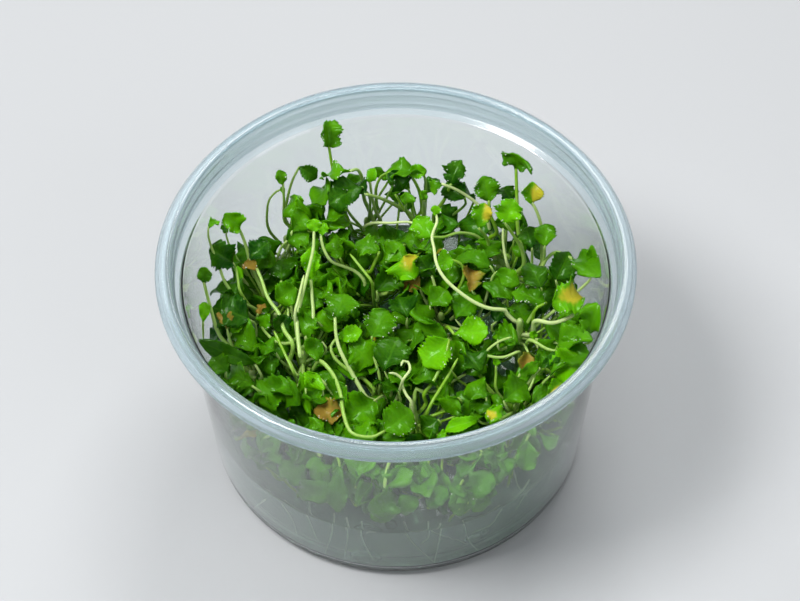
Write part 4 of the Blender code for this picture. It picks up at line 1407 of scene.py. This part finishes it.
def mottle_group():
    """Soft mottling in object space: a slow and a fast noise added, from 0 to 1."""
    group, given, end = new_tree("Shader", "mottling", {"Size": "Float"}, {"Value": "Float"})
    place = add_node(group, "ShaderNodeTexCoord").outputs["Object"]
    slow = value_of(group, "ShaderNodeTexNoise", {"Vector": place, "Scale": given["Size"], "Detail": 3.0})
    faster = maths(group, "MULTIPLY", given["Size"], 5.0)
    fast = value_of(group, "ShaderNodeTexNoise", {"Vector": place, "Scale": faster, "Detail": 2.0})
    fine = maths(group, "MULTIPLY", fast, 0.35)
    group.links.new(maths(group, "MULTIPLY_ADD", slow, 0.65, fine), end[0])
    return group


def mottled(tree, mottling, size):
    """The mottling's value, with about as many spots to a metre as its size says."""
    return value_of(tree, "ShaderNodeGroup", {0: size}, node_tree=mottling)


def swung(tree, value, reach):
    """A value from 0 to 1 made to swing about 0."""
    return maths(tree, "MULTIPLY", maths(tree, "SUBTRACT", value, 0.5), reach)


def attribute(tree, name):
    """The value that a mesh's points carry under a name."""
    return add_node(tree, "ShaderNodeAttribute", attribute_name=name).outputs["Fac"]


def leaf_group(mottling):
    """A blade's colour, roughness and relief from its map, its tone and its fading."""
    colours = dict.fromkeys(("Deep", "Bright", "Rib", "Yellow", "Brown"), "Color")
    results = {"Color": "Color", "Roughness": "Float", "Height": "Float"}
    group, given, end = new_tree("Shader", "leaf blade", colours, results)
    calc, eased = partial(maths, group), partial(ramp, group)
    where = value_of(group, "ShaderNodeUVMap", uv_map="UVMap")
    parts = add_node(group, "ShaderNodeSeparateXYZ", {0: where}).outputs
    across = calc("MULTIPLY", calc("ABSOLUTE", calc("SUBTRACT", parts[0], 0.5)), 2.0)
    rib = eased(across, 0.11, 0.03)
    # Side veins leave the rib about every seventh of the blade and bend towards its tip.
    climb = calc("MULTIPLY", parts[1], 6.5)
    bend = calc("MULTIPLY", calc("POWER", across, 0.8), 1.7)
    saw = calc("FRACT", calc("SUBTRACT", calc("ADD", climb, 10.0), bend))
    ridge = calc("ABSOLUTE", calc("SUBTRACT", saw, 0.5))
    side_vein = calc("MULTIPLY", calc("MULTIPLY", eased(ridge, 0.415, 0.49), eased(across, 1.0, 0.35)), 0.75)
    spread = value_of(group, "ShaderNodeMapping", {"Vector": where, "Scale": (9.0, 11.0, 1.0)})
    cells = {"Vector": spread, "Scale": 1.0}
    net = value_of(group, "ShaderNodeTexVoronoi", cells, feature="DISTANCE_TO_EDGE")
    net_vein = calc("MULTIPLY", eased(net, 0.09, 0.01), 0.35)
    veins = calc("MAXIMUM", calc("MAXIMUM", rib, side_vein), net_vein)
    spots = mottled(group, mottling, 260.0)
    tone, fade = attribute(group, "tone"), attribute(group, "fade")
    # The tone carries painted shade, for shaded leaves and low leaves deep in the canopy, besides each
    # blade's own random tone.
    brightness = calc("ADD", tone, swung(group, spots, 0.9), clamp=True)
    green = blend(group, brightness, given["Deep"], given["Bright"])
    veined = blend(group, calc("MULTIPLY", veins, 0.18), green, given["Rib"])
    turned = calc("ADD", fade, swung(group, spots, 0.8))
    yellowed = blend(group, eased(turned, 0.22, 0.62), veined, given["Yellow"])
    browned = blend(group, eased(turned, 0.80, 1.08), yellowed, given["Brown"])
    group.links.new(browned, end["Color"])
    rough = calc("ADD", calc("MULTIPLY", spots, 0.16), 0.27)
    group.links.new(calc("ADD", rough, calc("MULTIPLY", fade, 0.2), clamp=True), end["Roughness"])
    quilt = calc("MULTIPLY", eased(ridge, 0.5, 0.0), 0.35)
    relief = calc("SUBTRACT", quilt, calc("MULTIPLY", veins, 0.5))
    group.links.new(calc("ADD", relief, spots), end["Height"])
    return group


def bump(tree, shader, height, distance, strength):
    """Relief on a finish."""
    made = value_of(tree, "ShaderNodeBump", {"Height": height, "Distance": distance, "Strength": strength})
    tree.links.new(made, shader.inputs["Normal"])


def leaf_finish(name, group, colours):
    """The finish of the blades of one look."""
    look = LOOKS[name]
    bright = Vector(colours.bright) * look.bright
    material, tree, shader = plain_finish(
        name, bright, 0.35, specular_ior_level=0.3, specular_tint=(0.35, 1.0, 0.15, 1.0),
        coat_weight=0.14, coat_roughness=0.10,
        subsurface_weight=0.12, subsurface_scale=0.0012, subsurface_radius=(0.35, 1.0, 0.12),
    )
    inputs = {
        "Deep": Vector(colours.deep) * look.deep,
        "Bright": bright,
        "Rib": colours.rib,
        "Yellow": Vector(colours.brown) * WITHERED_SHADE if name == WITHERED else colours.yellow,
        "Brown": colours.brown,
    }
    colour_inputs = {key: solid_colour(value) for key, value in inputs.items()}
    made = add_node(tree, "ShaderNodeGroup", colour_inputs, node_tree=group).outputs
    tree.links.new(made["Color"], shader.inputs["Base Color"])
    tree.links.new(made["Roughness"], shader.inputs["Roughness"])
    bump(tree, shader, made["Height"], 0.1 * MM, 0.5)
    return material


def stalk_finish(name, mottling, dark, pale):
    """A finish between two colours, which the points' tone chooses."""
    material, tree, shader = plain_finish(
        name, dark, 0.34, specular_ior_level=0.35, coat_weight=0.1,
        subsurface_weight=0.25, subsurface_scale=0.0015, subsurface_radius=(0.8, 1.0, 0.35),
    )
    spots = mottled(tree, mottling, 160.0)
    share = maths(tree, "ADD", attribute(tree, "tone"), swung(tree, spots, 0.9), clamp=True)
    tree.links.new(blend(tree, share, solid_colour(dark), solid_colour(pale)), shader.inputs["Base Color"])
    bump(tree, shader, spots, 0.2 * MM, 0.5)
    return material


def clear_finish(name, mottling):
    """A see-through finish with slightly uneven gloss."""
    clear = CLEAR[name]
    material, tree, shader = plain_finish(
        name, clear.colour, clear.roughness, ior=clear.ior, transmission_weight=clear.transmission
    )
    spots = mottled(tree, mottling, clear.grain)
    rough = maths(tree, "ADD", maths(tree, "MULTIPLY", spots, clear.uneven), clear.roughness, clamp=True)
    tree.links.new(rough, shader.inputs["Roughness"])
    bump(tree, shader, spots, 0.05 * MM, 0.35)
    return material


def absorb(tree, colour, density):
    """Colours what is seen through a body by how thick it is."""
    volume = value_of(tree, "ShaderNodeVolumeAbsorption", {"Color": solid_colour(colour), "Density": density})
    tree.links.new(volume, tree.nodes["Material Output"].inputs["Volume"])


TREES = {}
FINISHES = {}


def make_finishes():
    """Fills FINISHES and TREES."""
    colours = bpy.context.scene.cress_colours
    mottling = mottle_group()
    group = leaf_group(mottling)
    FINISHES.update({name: leaf_finish(name, group, colours) for name in LOOKS})
    FINISHES["stalk"] = stalk_finish("stalk", mottling, colours.stalk, colours.pale_stalk)
    FINISHES["root"] = stalk_finish("root", mottling, *ROOT_COLOURS)
    FINISHES.update({name: clear_finish(name, mottling) for name in CLEAR})
    absorb(FINISHES["clear gel"].node_tree, GEL_TINT, GEL_DENSITY)
    TREES.update(tubes=tube_tree(), scatter=scatter_tree(), droplets=droplet_tree())


class CRESS_OT_cup(bpy.types.Operator):
    """Turns the cup: wall, ledge, rolled rim, floor and foot ring"""

    bl_idname = "cress.cup"
    bl_label = "Cup"

    def execute(self, context):
        make_finishes()
        cup = context.scene.cress_cup
        mesh = turned_mesh("cup_fine", cup_outline(cup), cup.sides, FINISHES["cup plastic"])
        mesh.materials.append(FINISHES["rim plastic"])
        for face in mesh.polygons:
            face.material_index = int(face.center.z > cup.ledge + 0.3 * MM)
        add_object("cup_fine", mesh, "cup_plastic", "cup")
        return {"FINISHED"}


class CRESS_OT_gel(bpy.types.Operator):
    """Turns the gel and puts roots and bubbles in it"""

    bl_idname = "cress.gel"
    bl_label = "Gel, roots and bubbles"

    def execute(self, context):
        cup = context.scene.cress_cup
        mesh = turned_mesh("gel_fine", gel_outline(cup), cup.sides, FINISHES["clear gel"])
        add_object("gel_fine", mesh, "clear_gel", "gel")
        rng = random.Random(ROOT_AND_BUBBLE_SEED)
        make_roots(rng)
        make_bubbles(rng)
        return {"FINISHED"}


class CRESS_OT_stems(bpy.types.Operator):
    """Grows the short stems with swellings at even steps along them"""

    bl_idname = "cress.stems"
    bl_label = "Stems"

    def execute(self, context):
        radius = context.scene.cress_plant.stem_radius
        for name, stem in STEMS.items():
            rng = random.Random(name)
            path = smooth_path(stem_places(stem), 0.5 * MM)
            widths = []
            for index in range(len(path)):
                share = index / (len(path) - 1)
                ring = math.sin(share * 5 * math.pi + rng.uniform(-0.2, 0.2)) ** 8
                widths.append(radius * (1 - 0.38 * share) * (1 + 0.14 * ring))
            widths[-1] *= 0.55
            add_strands(name + "_fine", "stalk", [([path], [widths], 16, rng.uniform(0.35, 0.7))], name)
        return {"FINISHED"}


class CRESS_OT_leaves(bpy.types.Operator):
    """Grows the main leaves, each with its stalk, where the solids have them"""

    bl_idname = "cress.leaves"
    bl_label = "Main leaves"

    def execute(self, context):
        for name in LEAVES:
            make_leaf(name)
        return {"FINISHED"}


class CRESS_OT_small_leaves(bpy.types.Operator):
    """Grows the smaller leaves, the bare stalks and the leaves low among the others"""

    bl_idname = "cress.small_leaves"
    bl_label = "Small leaves"

    def execute(self, context):
        long_stalks = make_small_leaves()
        make_bare_stalks()
        make_low_leaves(long_stalks)
        return {"FINISHED"}


class CRESS_OT_droplets(bpy.types.Operator):
    """Puts small droplets on the margins of the main leaves"""

    bl_idname = "cress.droplets"
    bl_label = "Droplets"

    def execute(self, context):
        plant = context.scene.cress_plant
        points, faces = [], []
        for name in LEAVES:
            mesh = bpy.data.objects[name + "_fine"].data
            corners = mesh.uv_layers["UVMap"].data
            for face in mesh.polygons:
                off_rib = abs(corners[face.loop_start].uv.x - 0.5)
                if face.material_index == 0 and face.normal.z > 0.1 and off_rib > 0.41:
                    faces.append(tuple(range(len(points), len(points) + len(face.vertices))))
                    points += [tuple(mesh.vertices[index].co) for index in face.vertices]
        margins = bpy.data.meshes.new("droplets")
        margins.from_pydata(points, [], faces)
        mesh = plain_mesh(
            "droplets", margins, TREES["droplets"], Density=plant.droplets, Radius=plant.droplet_radius,
            Seed=DROPLET_SEED, Material=FINISHES["water"],
        )
        add_object("droplets", mesh, "clear_gel")
        return {"FINISHED"}


# Each light: its place and its size in metres, and its power in watts.
LIGHTS = {
    "key light": ((-0.40, -0.10, 0.75), 0.30, 5.6),
    "fill light": ((0.55, -0.45, 0.45), 0.5, 1.0),
    "top light": ((0.15, 0.40, 0.75), 0.35, 2.8),
}
LIT_PLACE = Vector((0, 0, 0.03))
FLOOR_HALF = 3.0
FLOOR_COLOUR = (0.56, 0.57, 0.58)
SKY_COLOUR = (0.92, 0.96, 1.0, 1.0)
SKY_STRENGTH = 0.30


class CRESS_OT_stage(bpy.types.Operator):
    """Sets the pale floor, the soft light and the camera"""

    bl_idname = "cress.stage"
    bl_label = "Floor, light and camera"

    def execute(self, context):
        scene = context.scene
        material, _, _ = plain_finish("floor", FLOOR_COLOUR, 0.6)
        corners = [(FLOOR_HALF * x, FLOOR_HALF * y, 0) for x, y in ((-1, -1), (1, -1), (1, 1), (-1, 1))]
        floor = bpy.data.meshes.new("floor")
        floor.from_pydata(corners, [], [(0, 1, 2, 3)])
        floor.materials.append(material)
        add_object("floor", floor, None)
        scene.world = bpy.data.worlds.new("studio")
        scene.world.use_nodes = True
        sky = scene.world.node_tree.nodes["Background"].inputs
        sky["Color"].default_value = SKY_COLOUR
        sky["Strength"].default_value = SKY_STRENGTH
        for name, (place, size, power) in LIGHTS.items():
            light = bpy.data.lights.new(name, "AREA")
            light.energy = power
            light.size = size
            lamp = link(bpy.data.objects.new(name, light))
            lamp.location = place
            lamp.rotation_euler = (Vector(place) - LIT_PLACE).to_track_quat("Z", "Y").to_euler()
        camera = bpy.data.cameras.new("camera")
        camera.sensor_width = 36.0
        camera.lens = FOCAL_PIXELS * camera.sensor_width / IMAGE_WIDTH
        camera.clip_start = 10 * MM
        eye = link(bpy.data.objects.new("camera", camera))
        axes = Matrix((VIEW_RIGHT, VIEW_UP, TO_VIEWER)).transposed()
        eye.matrix_world = Matrix.Translation(VIEWPOINT) @ axes.to_4x4()
        scene.camera = eye
        scene.view_settings.view_transform = "Standard"
        return {"FINISHED"}


class CRESS_PT_panel(bpy.types.Panel):
    """Lists what builds the lake cress cup"""

    bl_label = "Lake Cress"
    bl_idname = "CRESS_PT_panel"
    bl_space_type = "VIEW_3D"
    bl_region_type = "UI"
    bl_category = "Lake Cress"

    def draw(self, context):
        for key in GROUPS:
            group = getattr(context.scene, key)
            for setting in group.__annotations__:
                self.layout.prop(group, setting)
        for operator in OPERATORS:
            self.layout.operator(operator.bl_idname)


GROUPS = {"cress_cup": CupSizes, "cress_plant": PlantSizes, "cress_colours": PlantColours}
OPERATORS = (
    CRESS_OT_cup,
    CRESS_OT_gel,
    CRESS_OT_stems,
    CRESS_OT_leaves,
    CRESS_OT_small_leaves,
    CRESS_OT_droplets,
    CRESS_OT_stage,
)
CLASSES = (*GROUPS.values(), *OPERATORS, CRESS_PT_panel)


def register():
    for made in CLASSES:
        bpy.utils.register_class(made)
    for key, group in GROUPS.items():
        setattr(bpy.types.Scene, key, PointerProperty(type=group))


def unregister():
    for key in GROUPS:
        delattr(bpy.types.Scene, key)
    for made in reversed(CLASSES):
        bpy.utils.unregister_class(made)


def main():
    register()
    for operator in OPERATORS:
        getattr(bpy.ops.cress, operator.bl_idname.split(".")[1])()


if __name__ == "__main__":
    main()
